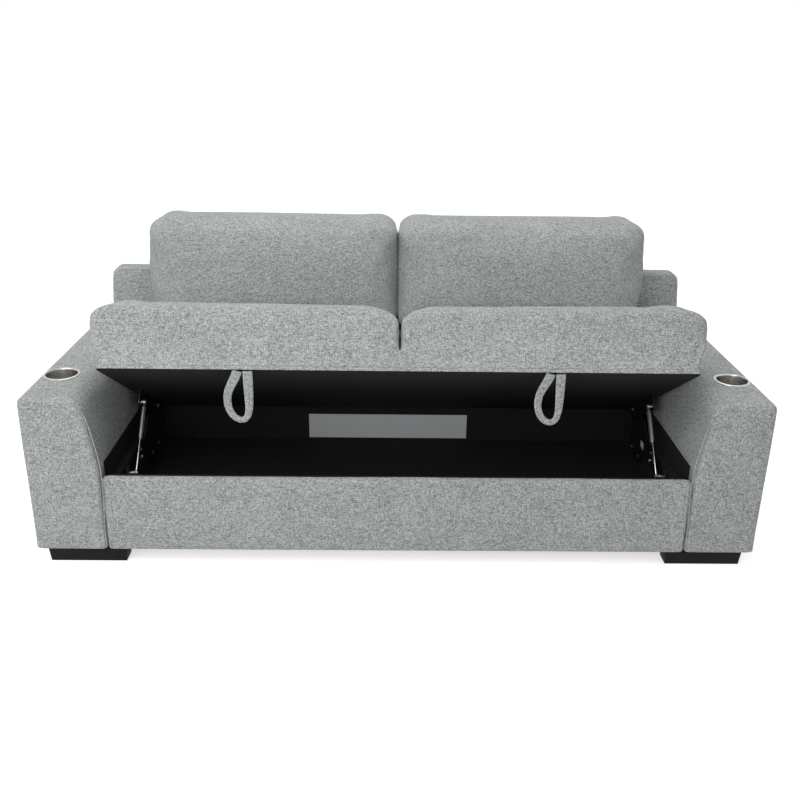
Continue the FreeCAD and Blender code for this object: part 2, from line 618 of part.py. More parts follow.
def well():
    start = FRONT + " + Dims.rail_depth"
    for name, side in SIDES:
        keep(block("side_board_" + name,
                   (outward(side, WELL_SIDE, "Dims.side_board_thickness"), start, "Dims.well_base"),
                   ("Dims.side_board_thickness", "Dims.well_length", "Dims.side_board_height")),
             "side_board_" + name)
        top = "Dims.well_base + Dims.side_board_height"
        keep(block("side_lining_" + name,
                   (outward(side, BAY + " - Dims.lining_thickness", "Dims.lining_thickness"), start, top),
                   ("Dims.lining_thickness", "Dims.well_length", "Dims.batter_start - (%s)" % top)),
             "side_lining_" + name)
    clear_width = "2 * (%s)" % WELL_SIDE
    rails = [block("cross_rail_%d" % number,
                   ("%d * Dims.cross_rail_spacing - Dims.cross_rail_width / 2" % number, start,
                    "Dims.well_base"),
                   ("Dims.cross_rail_width", "Dims.well_length", "Dims.cross_rail_height"))
             for number in (-1, 0, 1)]
    keep(group("cross_rails", *rails), "cross_rails")
    floor_z = "Dims.well_base + Dims.cross_rail_height"
    keep(block("floor_board", ("-(%s)" % WELL_SIDE, start, floor_z),
               (clear_width, "Dims.well_length", "Dims.floor_thickness")), "floor_board")
    keep(block("floor_lining", ("-(%s)" % WELL_SIDE, start, floor_z + " + Dims.floor_thickness"),
               (clear_width, "Dims.well_length", "Dims.lining_thickness")), "floor_lining")
    keep(block("dust_cover", ("-(%s) + Dims.soft_gap" % BAY, start, "Dims.well_base - Dims.lining_thickness"),
               ("2 * %s - 2 * Dims.soft_gap" % BAY, "Dims.arm_length - Dims.rail_depth",
                "Dims.lining_thickness")), "dust_cover")
    board = "Dims.back_board_thickness"
    back_y = "%s + %s" % (FRONT, WELL_BACK)
    keep(block("well_back_board", ("-(%s)" % BAY, back_y, "Dims.well_base"),
               ("2 * " + BAY, board, "Dims.back_board_height")), "well_back_board")
    keep(block("rear_shelf_board", ("-(%s)" % BAY, back_y + " + " + board,
                                    "Dims.well_base + Dims.back_board_height - " + board),
               ("2 * " + BAY, "Dims.shelf_depth", board)), "rear_shelf_board")
    panel_y = "%s + %s" % (FRONT, SUPPORT_FRONT)
    rail_z = "Dims.support_top - Dims.support_rail_height"
    keep(block("support_panel", ("-(%s)" % BAY, panel_y, "Dims.well_base"),
               ("2 * " + BAY, board, rail_z + " - Dims.well_base")), "support_panel")
    rail = block("support_rail_block", ("-(%s)" % BAY, panel_y, rail_z),
                 ("2 * " + BAY, "Dims.arm_length - (%s)" % SUPPORT_FRONT, "Dims.support_rail_height"))
    doc.recompute()
    rounded = doc.addObject("Part::Fillet", "support_rail_rounded")
    rounded.Base = rail
    low = front + well_back + size("back_board_thickness") + size("shelf_depth")
    rounded.Edges = [(number, size("support_round"), size("support_round"))
                     for number, edge in enumerate(rail.Shape.Edges, start=1)
                     if runs_along(edge, 0) and near(middle(edge).y, low)]
    keep(rounded, "support_rail")
    keep(block("blank_card", ("Dims.card_shift - Dims.card_width / 2", back_y + " - Dims.card_thickness",
                              FLOOR_TOP + " + Dims.card_lift"),
               ("Dims.card_width", "Dims.card_thickness", "Dims.card_height")), "blank_card")


# Soft forms: a stack of rounded loops, drawn in at the edges and swelling to a crown.

def loop(place, x0, x1, y0, y1, corners, draw):
    """A rounded rectangle whose sides pull in by draw between the corners, which are (inner, outer)."""
    inner, outer = corners
    cut_in, cut_out = [corner * (1 - math.sqrt(0.5)) for corner in corners]
    xm = (x0 + x1) / 2
    ym = (y0 + y1) / 2
    arcs = [
        ((x0 + inner, y0), (xm, y0 + draw), (x1 - outer, y0)),
        ((x1 - outer, y0), (x1 - cut_out, y0 + cut_out), (x1, y0 + outer)),
        ((x1, y0 + outer), (x1 - draw, ym), (x1, y1 - outer)),
        ((x1, y1 - outer), (x1 - cut_out, y1 - cut_out), (x1 - outer, y1)),
        ((x1 - outer, y1), (xm, y1 - draw), (x0 + inner, y1)),
        ((x0 + inner, y1), (x0 + cut_in, y1 - cut_in), (x0, y1 - inner)),
        ((x0, y1 - inner), (x0 + draw, ym), (x0, y0 + inner)),
        ((x0, y0 + inner), (x0 + cut_in, y0 + cut_in), (x0 + inner, y0)),
    ]
    return Part.Wire([Part.Arc(*[place(*spot) for spot in arc]).toShape() for arc in arcs])


def soft_block(place, width, depth, levels, corners, draw):
    """A closed form through loops at (inset, front inset, level); place turns (x, y, level) into a point."""
    loops = []
    for inset, ahead, level in levels:
        loops.append(loop(lambda x, y: place(x, y, level), inset, width - inset, ahead, depth - inset,
                          corners, draw))
    return Part.makeLoft(loops, True, True)


def crown_levels(height, shoulder, rise, crown, half):
    """Levels of a rounded top edge and of the gentle swell inside it."""
    levels = []
    steps = 5
    for step in range(steps):
        turn = math.pi / 2 * step / steps
        inset = shoulder * (1 - math.cos(turn))
        levels.append((inset, inset, height - crown - rise + rise * math.sin(turn)))
    for share in (0.0, 0.25, 0.5, 0.75):
        inset = shoulder + share * (half - shoulder)
        levels.append((inset, inset, height - crown * (1 - share) ** 2))
    return levels


def soft_piece(label, shape):
    if shape.Volume < 0:
        shape = shape.reversed()
    piece = doc.addObject("Part::Feature", label)
    piece.Shape = shape
    return keep(piece, label)


def seat_cushion(name, side):
    split = size("seat_split") / 2
    width = lid_side + size("seat_bulge") - split
    depth = size("lid_length")
    base = lid_under + size("band_height")
    half = depth / 2 - size("seat_corner")
    levels = [(size("seat_bulge"), size("seat_front_inset"), 0),
              (size("seat_foot_inset"), 0, size("seat_foot_rise"))]
    levels += crown_levels(size("seat_height"), size("seat_shoulder"), size("seat_round"),
                           size("seat_crown"), half)
    start = front - size("lid_overhang")

    def place(x, y, level):
        return Vector(side * (split + x), start + y, base + level)

    corners = (size("seat_split_corner"), size("seat_corner"))
    piece = soft_piece("seat_cushion_" + name,
                       soft_block(place, width, depth, levels, corners, size("seat_draw")))
    swing_open(piece)


def back_cushion(name, side):
    lean = math.tan(math.radians(size("back_lean")))
    gap = size("soft_gap")
    bottom = size("support_top") + gap
    half = size("cushion_height") / 2 - size("cushion_corner")
    rear = size("cushion_rear_round")
    rear_mid = rear * (1 - math.sqrt(0.5))
    levels = [(rear, rear, 0), (rear_mid, rear_mid, rear_mid), (0, 0, rear)]
    levels += crown_levels(size("cushion_thickness"), size("cushion_face_round"), size("cushion_face_round"),
                           size("cushion_crown"), half)
    slope = math.hypot(1, lean)
    start = size("cushion_gap") / 2
    rear_foot = front + size("arm_length") - gap * slope + (bottom - size("arm_height")) * lean

    def place(x, y, level):
        return Vector(side * (start + x), rear_foot - level + y * lean, bottom + y)

    width = bay - size("cushion_side_gap") - start
    corners = (size("cushion_corner"), size("cushion_corner"))
    soft_piece("back_cushion_" + name,
               soft_block(place, width, size("cushion_height"), levels, corners, size("seat_draw")))


# Lid: cloth, timber frame, webbing and base foam inside a band, under the seat cushions.

def lid():
    body = doc.addObject("PartDesign::Body", "band_form")
    outline = sketch_in(body, "XY_Plane", "band_outline")
    half = "(%s)" % LID_SIDE
    polygon(outline, [("-" + half, "0"), (half, "0"), (half, "Dims.lid_length"),
                      ("-" + half, "Dims.lid_length")])
    base = pad(body, outline, "Dims.band_height")
    corners = round_edges(body, base, "Dims.lid_corner", lambda e: runs_along(e, 2), "band_corners")
    round_edges(body, corners, "Dims.lid_bottom_round", lambda e: near(middle(e).z, 0), "band_lower_edge")
    doc.recompute()
    opening = sketch_in(body, "XY_Plane", "band_opening")
    wall = "Dims.band_wall"
    inner = "(%s - %s)" % (half, wall)
    polygon(opening, [("-" + inner, wall), (inner, wall), (inner, "Dims.lid_length - " + wall),
                      ("-" + inner, "Dims.lid_length - " + wall)])
    pocket(body, opening, "Dims.band_height", reverse=True)
    put(body, y=FRONT + " - Dims.lid_overhang", z=LID_UNDER)
    keep(swing_open(group("seat_band", body)), "seat_band")

    gap = "Dims.soft_gap"
    low_x = "-%s + %s + %s" % (half, wall, gap)
    low_y = "%s - Dims.lid_overhang + %s + %s" % (FRONT, wall, gap)
    wide = "2 * %s - 2 * %s - 2 * %s" % (half, wall, gap)
    long = "Dims.lid_length - 2 * %s - 2 * %s" % (wall, gap)

    def sheet_piece(label, lift, thickness):
        item = block(label + "_flat", (low_x, low_y, "%s + %s" % (LID_UNDER, lift)), (wide, long, thickness))
        return keep(swing_open(group(label, item)), label)

    sheet_piece("lid_cloth", "0", "Dims.lining_thickness")
    frame_z = "%s + Dims.lining_thickness" % LID_UNDER
    member = "Dims.lid_frame_member"
    timber = block("lid_timber", (low_x, low_y, frame_z), (wide, long, "Dims.lid_frame_height"))
    bays = 4
    bay_room = "((%s - %d * %s) / %d)" % (wide, bays + 1, member, bays)
    windows = [block("lid_window_%d" % number,
                     ("%s + %s + %d * (%s + %s)" % (low_x, member, number, bay_room, member),
                      "%s + %s" % (low_y, member), frame_z),
                     (bay_room, "%s - 2 * %s" % (long, member), "Dims.lid_frame_height"))
               for number in range(bays)]
    keep(swing_open(less("lid_frame", timber, *windows)), "lid_frame")

    count = 11
    web_z = "%s + Dims.lid_frame_height" % frame_z
    pitch = "(%s - Dims.webbing_margin) / %d" % (half, count // 2)
    straps = [block("web_%d" % number,
                    ("%d * %s - Dims.webbing_width / 2" % (number - count // 2, pitch), low_y, web_z),
                    ("Dims.webbing_width", long, "Dims.webbing_thickness"))
              for number in range(count)]
    keep(swing_open(group("seat_webbing", *straps)), "seat_webbing")
    sheet_piece("seat_base_foam", "Dims.lining_thickness + Dims.lid_frame_height + Dims.webbing_thickness",
                "Dims.band_height - Dims.lining_thickness - Dims.lid_frame_height - Dims.webbing_thickness")


# Hinge and gas strut on each side of the well.

def hinge_plate(name, side):
    plate = doc.addObject("PartDesign::Body", "plate_form_" + name)
    outline = sketch_in(plate, "YZ_Plane", "plate_outline_" + name)
    ear_y = "Dims.hinge_back + Dims.plate_ear"
    ear_z = "Dims.hinge_height + Dims.plate_ear"
    polygon(outline, [
        ("Dims.plate_arm_front", "Dims.plate_arm_bottom"), ("Dims.plate_main_front", "Dims.plate_arm_bottom"),
        ("Dims.plate_main_front + Dims.plate_arm_bottom - Dims.plate_bottom", "Dims.plate_bottom"),
        (ear_y, "Dims.plate_bottom"), (ear_y, ear_z),
        ("Dims.plate_main_front + (%s - Dims.plate_arm_top)" % ear_z, ear_z),
        ("Dims.plate_main_front", "Dims.plate_arm_top"), ("Dims.plate_arm_front", "Dims.plate_arm_top")])
    base = pad(plate, outline, "Dims.plate_thickness")
    ear_back = size("hinge_back") + size("plate_ear")
    ear_top = size("hinge_height") + size("plate_ear")

    def ear(edge):
        return runs_along(edge, 0) and near(middle(edge).y, ear_back) and near(middle(edge).z, ear_top)

    def other(edge):
        level = middle(edge).z
        return runs_along(edge, 0) and not near(level, ear_top) and not near(level, size("hinge_height"))

    rounded = round_edges(plate, base, "Dims.plate_ear", ear, "plate_ear_" + name)
    round_edges(plate, rounded, "Dims.plate_corner", other, "plate_corners_" + name)
    put(plate, "%s" % outward(side, PLATE_FACE, "Dims.plate_thickness"), FRONT)
    pair_y = "Dims.base_stud_back + Dims.bolt_pair_back"
    bolts = [(pair_y, "Dims.base_stud_height + Dims.bolt_pair_rise"),
             (pair_y, "Dims.base_stud_height - Dims.bolt_pair_fall"),
             ("Dims.hinge_back - Dims.bolt_rear_inset", "Dims.plate_bottom + Dims.bolt_rise"),
             ("Dims.plate_main_front + Dims.bolt_main_back", "Dims.plate_bottom + Dims.bolt_rise")]
    ways = [crosswise("plate_way_%s_%d" % (name, number), PLATE_FACE, "%s + %s" % (FRONT, y), z,
                      "Dims.bolt_radius + Dims.pin_play", "Dims.plate_thickness", side)
            for number, (y, z) in enumerate(bolts)]
    pin_way = crosswise("plate_pin_way_" + name, PLATE_FACE, AXIS_Y, "Dims.hinge_height",
                        "Dims.pin_radius + Dims.pin_play", "Dims.plate_thickness", side)
    keep(less("hinge_plate_" + name, plate, pin_way, *ways), "hinge_plate_" + name)

    heads = []
    for number, (y, z) in enumerate(bolts):
        head = crosswise("bolt_head_%s_%d" % (name, number), PLATE_FACE + " - Dims.bolt_head_height",
                         "%s + %s" % (FRONT, y), z, "Dims.bolt_head_radius", "Dims.bolt_head_height", side)
        shank = crosswise("bolt_shank_%s_%d" % (name, number), PLATE_FACE, "%s + %s" % (FRONT, y), z,
                          "Dims.bolt_radius", "Dims.plate_thickness", side)
        heads.append(joined("bolt_%s_%d" % (name, number), head, shank))
    keep(group("plate_bolts_" + name, *heads), "plate_bolts_" + name)


def hinge_pin(name, side):
    head_start = BRACKET_FACE + " - Dims.running_gap - Dims.pin_head_height"
    pin_head = crosswise("pin_head_" + name, head_start, AXIS_Y, "Dims.hinge_height", "Dims.pin_head_radius",
                         "Dims.pin_head_height", side)
    shaft_length = "Dims.running_gap + Dims.bracket_thickness + Dims.washer_thickness + Dims.plate_thickness"
    shaft = crosswise("pin_shaft_" + name, BRACKET_FACE + " - Dims.running_gap", AXIS_Y, "Dims.hinge_height",
                      "Dims.pin_radius", shaft_length, side)
    keep(joined("hinge_pin_" + name, pin_head, shaft), "hinge_pin_" + name)
    disc = crosswise("washer_disc_" + name, WASHER_FACE, AXIS_Y, "Dims.hinge_height", "Dims.pin_head_radius",
                     "Dims.washer_thickness", side)
    disc_hole = crosswise("washer_hole_" + name, WASHER_FACE, AXIS_Y, "Dims.hinge_height",
                          "Dims.pin_radius + Dims.pin_play", "Dims.washer_thickness", side)
    keep(less("hinge_washer_" + name, disc, disc_hole), "hinge_washer_" + name)


def lid_bracket(name, side):
    bracket = doc.addObject("PartDesign::Body", "bracket_form_" + name)
    upright = sketch_in(bracket, "YZ_Plane", "bracket_upright_" + name)
    polygon(upright, [("Dims.bracket_front", LID_UNDER + " - Dims.bracket_drop"),
                      ("Dims.bracket_rear", LID_UNDER + " - Dims.bracket_drop"),
                      ("Dims.bracket_rear", LID_UNDER), ("Dims.bracket_front", LID_UNDER)])
    web = pad(bracket, upright, "Dims.bracket_thickness")
    low = lid_under - size("bracket_drop")
    round_edges(bracket, web, "Dims.bracket_corner", lambda e: runs_along(e, 0) and near(middle(e).z, low),
                "bracket_corners_" + name)
    put(bracket, outward(side, BRACKET_FACE, "Dims.bracket_thickness"), FRONT)
    bracket_length = "Dims.bracket_rear - Dims.bracket_front"
    flat = block("bracket_flat_" + name,
                 (outward(side, BRACKET_FACE, "Dims.bracket_flange"), FRONT + " + Dims.bracket_front",
                  LID_UNDER + " - Dims.bracket_thickness"),
                 ("Dims.bracket_flange", bracket_length, "Dims.bracket_thickness"))
    ways = [crosswise("bracket_pin_way_" + name, BRACKET_FACE, AXIS_Y, "Dims.hinge_height",
                      "Dims.pin_radius + Dims.pin_play", "Dims.bracket_thickness", side),
            crosswise("bracket_stud_way_" + name, BRACKET_FACE, STUD_Y, "Dims.stud_height",
                      "Dims.pin_radius + Dims.pin_play", "Dims.bracket_thickness", side)]
    angle = joined("bracket_angle_" + name, bracket, flat)
    keep(swing_open(less("lid_bracket_" + name, angle, *ways)), "lid_bracket_" + name)

    screw_x = "%d * (%s + Dims.bracket_thickness + (Dims.bracket_flange - Dims.bracket_thickness) / 2)" \
        % (side, BRACKET_FACE)
    screws = []
    count = 3
    for number in range(count):
        y = "%s + Dims.bracket_front + (%s) * %d / %d" % (FRONT, bracket_length, 2 * number + 1, 2 * count)
        screws.append(drum("bracket_screw_%s_%d" % (name, number),
                           (screw_x, y, LID_UNDER + " - Dims.bracket_thickness - Dims.small_screw_height"),
                           "Dims.small_screw_radius", "Dims.small_screw_height"))
    keep(swing_open(group("bracket_screws_" + name, *screws)), "bracket_screws_" + name)


def strut_studs(name, side):
    eye_edge = "Dims.strut_from_bracket - Dims.eye_thickness / 2 - Dims.running_gap"
    collar = crosswise("lid_stud_collar_" + name, "%s - (%s)" % (BRACKET_FACE, eye_edge), STUD_Y,
                       "Dims.stud_height", "Dims.stud_collar_radius", eye_edge, side)
    stud_length = "Dims.bracket_thickness + Dims.plate_thickness - Dims.running_gap"
    shank = crosswise("lid_stud_shank_" + name, BRACKET_FACE, STUD_Y, "Dims.stud_height", "Dims.pin_radius",
                      stud_length, side)
    nut = doc.addObject("Part::Prism", "lid_stud_nut_" + name)
    bind(nut, {"Circumradius": "Dims.stud_nut_radius", "Height": "Dims.plate_thickness - Dims.running_gap"})
    nut.Polygon = 6
    nut.Placement = Placement(Vector(), Rotation(Vector(0, side, 0), 90))
    put(nut, "%d * (%s)" % (side, WASHER_FACE), STUD_Y, "Dims.stud_height")
    keep(swing_open(joined("lid_stud_" + name, collar, shank, nut)), "lid_stud_" + name)

    base_y = "%s + Dims.base_stud_back" % FRONT
    to_plate = "Dims.strut_from_bracket + Dims.bracket_thickness + Dims.washer_thickness"
    collar_start = "%s - Dims.strut_from_bracket + Dims.eye_thickness / 2 + Dims.running_gap" % BRACKET_FACE
    collar = crosswise("base_stud_collar_" + name, collar_start, base_y, "Dims.base_stud_height",
                       "Dims.stud_collar_radius", to_plate + " - Dims.eye_thickness / 2 - Dims.running_gap",
                       side)
    head_end = "%s - Dims.strut_from_bracket - Dims.eye_thickness / 2 - Dims.running_gap" % BRACKET_FACE
    shaft = crosswise("base_stud_shaft_" + name, head_end, base_y, "Dims.base_stud_height", "Dims.pin_radius",
                      "Dims.eye_thickness + 2 * Dims.running_gap", side)
    head = crosswise("base_stud_head_" + name, head_end + " - Dims.pin_head_height / 2", base_y,
                     "Dims.base_stud_height", "Dims.stud_collar_radius", "Dims.pin_head_height / 2", side)
    keep(joined("base_stud_" + name, collar, shaft, head), "base_stud_" + name)


def strut(name, side):
    """A gas strut along its own Z axis from the base stud, then turned to the open lid's stud."""
    lid_y, lid_z = opened(size("stud_back"), size("stud_height"))
    run = lid_y - size("base_stud_back")
    rise = lid_z - size("base_stud_height")
    length = math.hypot(run, rise)
    tilt = math.degrees(math.atan2(rise, run)) - 90
    tube_end = length - size("neck_length")
    tube_start = tube_end - size("tube_length")
    across = Rotation(Vector(0, 1, 0), 90)
    thickness = size("eye_thickness")
    turn = Placement(Vector(side * strut_x, front + size("base_stud_back"), size("base_stud_height")),
                     Rotation(Vector(1, 0, 0), tilt))

    def turned_solid(half_outline):
        points = [Vector(radius, 0, level) for radius, level in half_outline]
        face = Part.Face(Part.makePolygon(points + points[:1]))
        return face.revolve(Vector(), Vector(0, 0, 1), 360)

    def eye(level, radius, bored):
        disc = Part.makeCylinder(radius, thickness)
        if bored:
            disc = disc.cut(Part.makeCylinder(size("pin_radius") + size("pin_play"), thickness))
        disc.Placement = Placement(Vector(-thickness / 2, 0, level), across)
        return disc

    cap = size("tube_cap")
    bore = size("tube_radius") - size("tube_wall")
    rod_hole = size("rod_radius") + size("rod_play")
    tube = turned_solid([
        (rod_hole, tube_start), (size("tube_radius"), tube_start), (size("tube_radius"), tube_end),
        (size("neck_radius"), tube_end), (size("neck_radius"), length), (0, length), (0, tube_end - cap),
        (bore, tube_end - cap), (bore, tube_start + cap), (rod_hole, tube_start + cap)])
    tube = tube.fuse(eye(length, size("eye_radius"), False)).removeSplitter()
    rod_end = tube_start + cap + size("rod_reach")
    rod = turned_solid([
        (0, size("rod_start")), (size("rod_radius"), size("rod_start")),
        (size("rod_radius"), rod_end - size("piston_length")),
        (bore - size("piston_play"), rod_end - size("piston_length")), (bore - size("piston_play"), rod_end),
        (0, rod_end)])
    rod = rod.fuse(eye(0, size("eye_radius"), True)).removeSplitter()
    for label, shape in (("strut_tube_" + name, tube), ("strut_rod_" + name, rod)):
        piece = doc.addObject("Part::Feature", label)
        piece.Shape = shape
        piece.Placement = turn
        keep(piece, label)


# Pull loops: a doubled strip sewn to the lid's lower front edge, hanging plumb.

def pull_strap(name, side):
    hang = size("strap_thickness") / 2
    y, z = opened(size("strap_inset") - size("lid_overhang"), lid_under - hang - size("soft_gap"))
    drop = size("strap_drop") - hang
    band = size("strap_band")
    belly_share = 0.6  # how far down the loop is widest
    widening = 0.65  # how much of that width it has halfway there
    turn_width = 0.78  # and in the turn below
    turn_depth = 0.72

    def teardrop(top, wide, start, end):
        belly = start + (end - start) * belly_share
        upper_mid = (-(top + (wide - top) * widening), (start + belly) / 2)
        lower_mid = (-wide * turn_width, belly + (end - belly) * turn_depth)
        left = [(-top, start), upper_mid, (-wide, belly)]
        turn_in = [(-wide, belly), lower_mid, (0, end)]
        edges = []
        for mirror, steps in ((1, (left, turn_in)), (-1, (turn_in[::-1], left[::-1]))):
            for run in steps:
                edges.append(Part.Arc(*[Vector(mirror * x, 0, -level) for x, level in run]).toShape())
        edges.append(Part.LineSegment(Vector(top, 0, -start), Vector(-top, 0, -start)).toShape())
        return Part.Face(Part.Wire(edges))

    outer = teardrop(size("strap_top_width") / 2, size("strap_width") / 2, 0, drop)
    inner = teardrop(size("strap_slot") / 2, size("strap_width") / 2 - band, band,
                     drop - size("strap_foot_band"))
    thick = Vector(0, size("strap_thickness"), 0)
    loop_solid = outer.extrude(thick).cut(inner.extrude(thick))
    loop_solid.translate(Vector(0, -hang, 0))
    roll = Part.makeCylinder(hang, size("strap_top_width"), Vector(-size("strap_top_width") / 2, 0, 0),
                             Vector(1, 0, 0))
    piece = doc.addObject("Part::Feature", "pull_strap_" + name)
    piece.Shape = loop_solid.fuse(roll).removeSplitter()
    piece.Placement = Placement(Vector(side * size("strap_position"), front + y, z), Rotation())
    keep(piece, "pull_strap_" + name)


def blank_label():
    keep(block("blank_label", (PLATE_FACE + " - Dims.label_thickness",
                               FRONT + " + Dims.plate_main_front + Dims.label_back",
                               "Dims.plate_arm_bottom + Dims.label_rise"),
               ("Dims.label_thickness", "Dims.label_width", "Dims.label_height")), "blank_label")


screws = []
for side_name, side_sign in SIDES:
    arm(side_name, side_sign)
    for end_name, at_rear in (("front", False), ("rear", True)):
        foot("foot_%s_%s" % (end_name, side_name), side_sign, at_rear)
        for index in range(2):
            screws.append(foot_screw("foot_screw_%s_%s_%d" % (end_name, side_name, index),
                                     foot_screw_place(side_sign, at_rear, index)))
keep(group("foot_screws", *screws), "foot_screws")
back()
front_rail()
well()
lid()
for side_name, side_sign in SIDES:
    seat_cushion(side_name, side_sign)
    back_cushion(side_name, side_sign)
    hinge_plate(side_name, side_sign)
    hinge_pin(side_name, side_sign)
    lid_bracket(side_name, side_sign)
    strut_studs(side_name, side_sign)
    strut(side_name, side_sign)
    pull_strap(side_name, side_sign)
blank_label()
doc.recompute()

for item in doc.Objects:
    if "Invalid" in item.State or "Error" in item.State:
        raise RuntimeError("%s did not build: %s" % (item.Label, item.State))
for item in finished:
    if item.Shape.isNull() or not item.Shape.isValid() or item.Shape.Volume <= 0:
        raise RuntimeError("%s has no valid shape" % item.Label)

os.makedirs("parts", exist_ok=True)
for item in finished:
    item.Shape.exportStep("parts/%s.step" % item.Label)
print("%d pieces written" % len(finished))
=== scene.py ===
import json
import math

import bmesh
import bpy
import numpy as np
from mathutils import Matrix, Vector, noise


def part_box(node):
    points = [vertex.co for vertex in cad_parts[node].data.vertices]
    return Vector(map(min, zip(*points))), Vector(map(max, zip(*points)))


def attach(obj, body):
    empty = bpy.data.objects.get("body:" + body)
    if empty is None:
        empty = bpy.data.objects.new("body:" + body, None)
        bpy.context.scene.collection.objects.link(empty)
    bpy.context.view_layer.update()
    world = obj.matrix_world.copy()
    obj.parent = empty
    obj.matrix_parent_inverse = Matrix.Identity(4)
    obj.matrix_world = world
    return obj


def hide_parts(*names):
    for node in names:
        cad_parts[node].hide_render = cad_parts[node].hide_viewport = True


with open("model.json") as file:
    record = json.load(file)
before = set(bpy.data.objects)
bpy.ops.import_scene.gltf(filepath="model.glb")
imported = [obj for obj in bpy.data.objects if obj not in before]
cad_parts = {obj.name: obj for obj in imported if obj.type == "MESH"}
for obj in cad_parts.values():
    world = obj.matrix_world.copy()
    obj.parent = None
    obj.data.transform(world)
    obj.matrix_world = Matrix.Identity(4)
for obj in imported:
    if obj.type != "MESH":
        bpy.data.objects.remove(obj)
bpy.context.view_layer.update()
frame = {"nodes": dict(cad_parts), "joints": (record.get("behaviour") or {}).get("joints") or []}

# Storage sofa with its seat lifted. Metres: X runs along the sofa, Y to its back, Z up.
# Lid pieces are shaped with the lid shut, where they lie flat, and then swung open.

lidHinge = next(joint for joint in frame["joints"] if joint["name"] == "lid_hinge")
hingeAt = Vector(lidHinge["pos_m"])
lidTravel = math.radians(lidHinge["range_deg"][1])
lidShuts = Matrix.Translation(hingeAt) @ Matrix.Rotation(lidTravel, 4, "X") @ Matrix.Translation(-hingeAt)
lidOpens = lidShuts.inverted()
sides = (("left", -1), ("right", 1))
near = 0.001  # metres: places closer than this count as one


# Camera and studio

cameraPlan = {"place": (-0.0455, -2.9249, 1.5334), "down": 20.483, "turn": 1.066, "roll": 0.917,
              "lens": 40.397, "shift": -0.0375, "farthest": 200}
studioPlan = {"floorSize": 60, "floorWhite": 0.86, "floorLift": 0.62, "ambient": 0.5,
              "lamps": [("keyLamp", (-1.7, -2.5, 3.3), (-0.1, 0, 0.4), 3.4, 52),
                        ("topLamp", (-0.1, 0.6, 3.6), (0, 0, 0.5), 3.2, 36),
                        ("sideLamp", (-3.0, -2.8, 1.6), (-0.3, -0.3, 0.4), 1.6, 10),
                        ("frontLamp", (-0.8, -3.6, 1.5), (0, 0, 0.2), 1.6, 11)]}


def linked(name, data):
    obj = bpy.data.objects.new(name, data)
    bpy.context.scene.collection.objects.link(obj)
    return obj


def addCamera(plan):
    down, turn, roll = (math.radians(plan[key]) for key in ("down", "turn", "roll"))
    lens = bpy.data.cameras.new("camera")
    lens.lens = plan["lens"]
    lens.shift_y = plan["shift"]
    lens.clip_end = plan["farthest"]
    camera = linked("camera", lens)
    camera.matrix_world = (Matrix.Translation(plan["place"]) @ Matrix.Rotation(-turn, 4, "Z")
                           @ Matrix.Rotation(math.pi / 2 - down, 4, "X") @ Matrix.Rotation(roll, 4, "Z"))
    bpy.context.scene.camera = camera


addCamera(cameraPlan)
bpy.context.scene.view_settings.view_transform = "Standard"


# Shader helpers

def feed(tree, socket, value):
    if isinstance(value, bpy.types.NodeSocket):
        tree.links.new(value, socket)
    else:
        socket.default_value = value


def addNode(tree, kind, inputs=None, **settings):
    made = tree.nodes.new(kind)
    for key, value in settings.items():
        setattr(made, key, value)
    for key, value in (inputs or {}).items():
        feed(tree, made.inputs[key], value)
    return made


def sums(tree, operation, *values):
    return addNode(tree, "ShaderNodeMath", dict(enumerate(values)), operation=operation).outputs[0]


def spread(tree, value, low, high):
    node = addNode(tree, "ShaderNodeMapRange", {"Value": value, "From Min": low, "From Max": high})
    return node.outputs[0]


def blendColours(tree, share, first, second):
    node = addNode(tree, "ShaderNodeMix", {0: share, 6: first, 7: second}, data_type="RGBA")
    return node.outputs[2]


def stretched(tree, place, amounts):
    node = addNode(tree, "ShaderNodeVectorMath", {0: place, 1: amounts}, operation="MULTIPLY")
    return node.outputs[0]


def noiseOf(tree, place, scale, detail=2.0, rough=0.55):
    settings = {"Vector": place, "Scale": scale, "Detail": detail, "Roughness": rough}
    return addNode(tree, "ShaderNodeTexNoise", settings).outputs["Fac"]


def newGroup(name, ins, outs):
    tree = bpy.data.node_groups.new(name, "ShaderNodeTree")
    for label, kind, value in ins:
        socket = tree.interface.new_socket(name=label, in_out="INPUT", socket_type="NodeSocket" + kind)
        socket.default_value = value
    for label, kind in outs:
        tree.interface.new_socket(name=label, in_out="OUTPUT", socket_type="NodeSocket" + kind)
    return tree, addNode(tree, "NodeGroupInput").outputs, addNode(tree, "NodeGroupOutput").inputs


def ramp(tree, value, stops):
    node = addNode(tree, "ShaderNodeValToRGB", {"Fac": value})
    band = node.color_ramp
    while len(band.elements) < len(stops):
        band.elements.new(0.5)
    for element, (position, colour) in zip(band.elements, stops):
        element.position = position
        element.color = (*colour, 1)
    return node.outputs["Color"]


# Tweed: yarns along each axis show where the surface faces across them, over round nubs and long slubs.

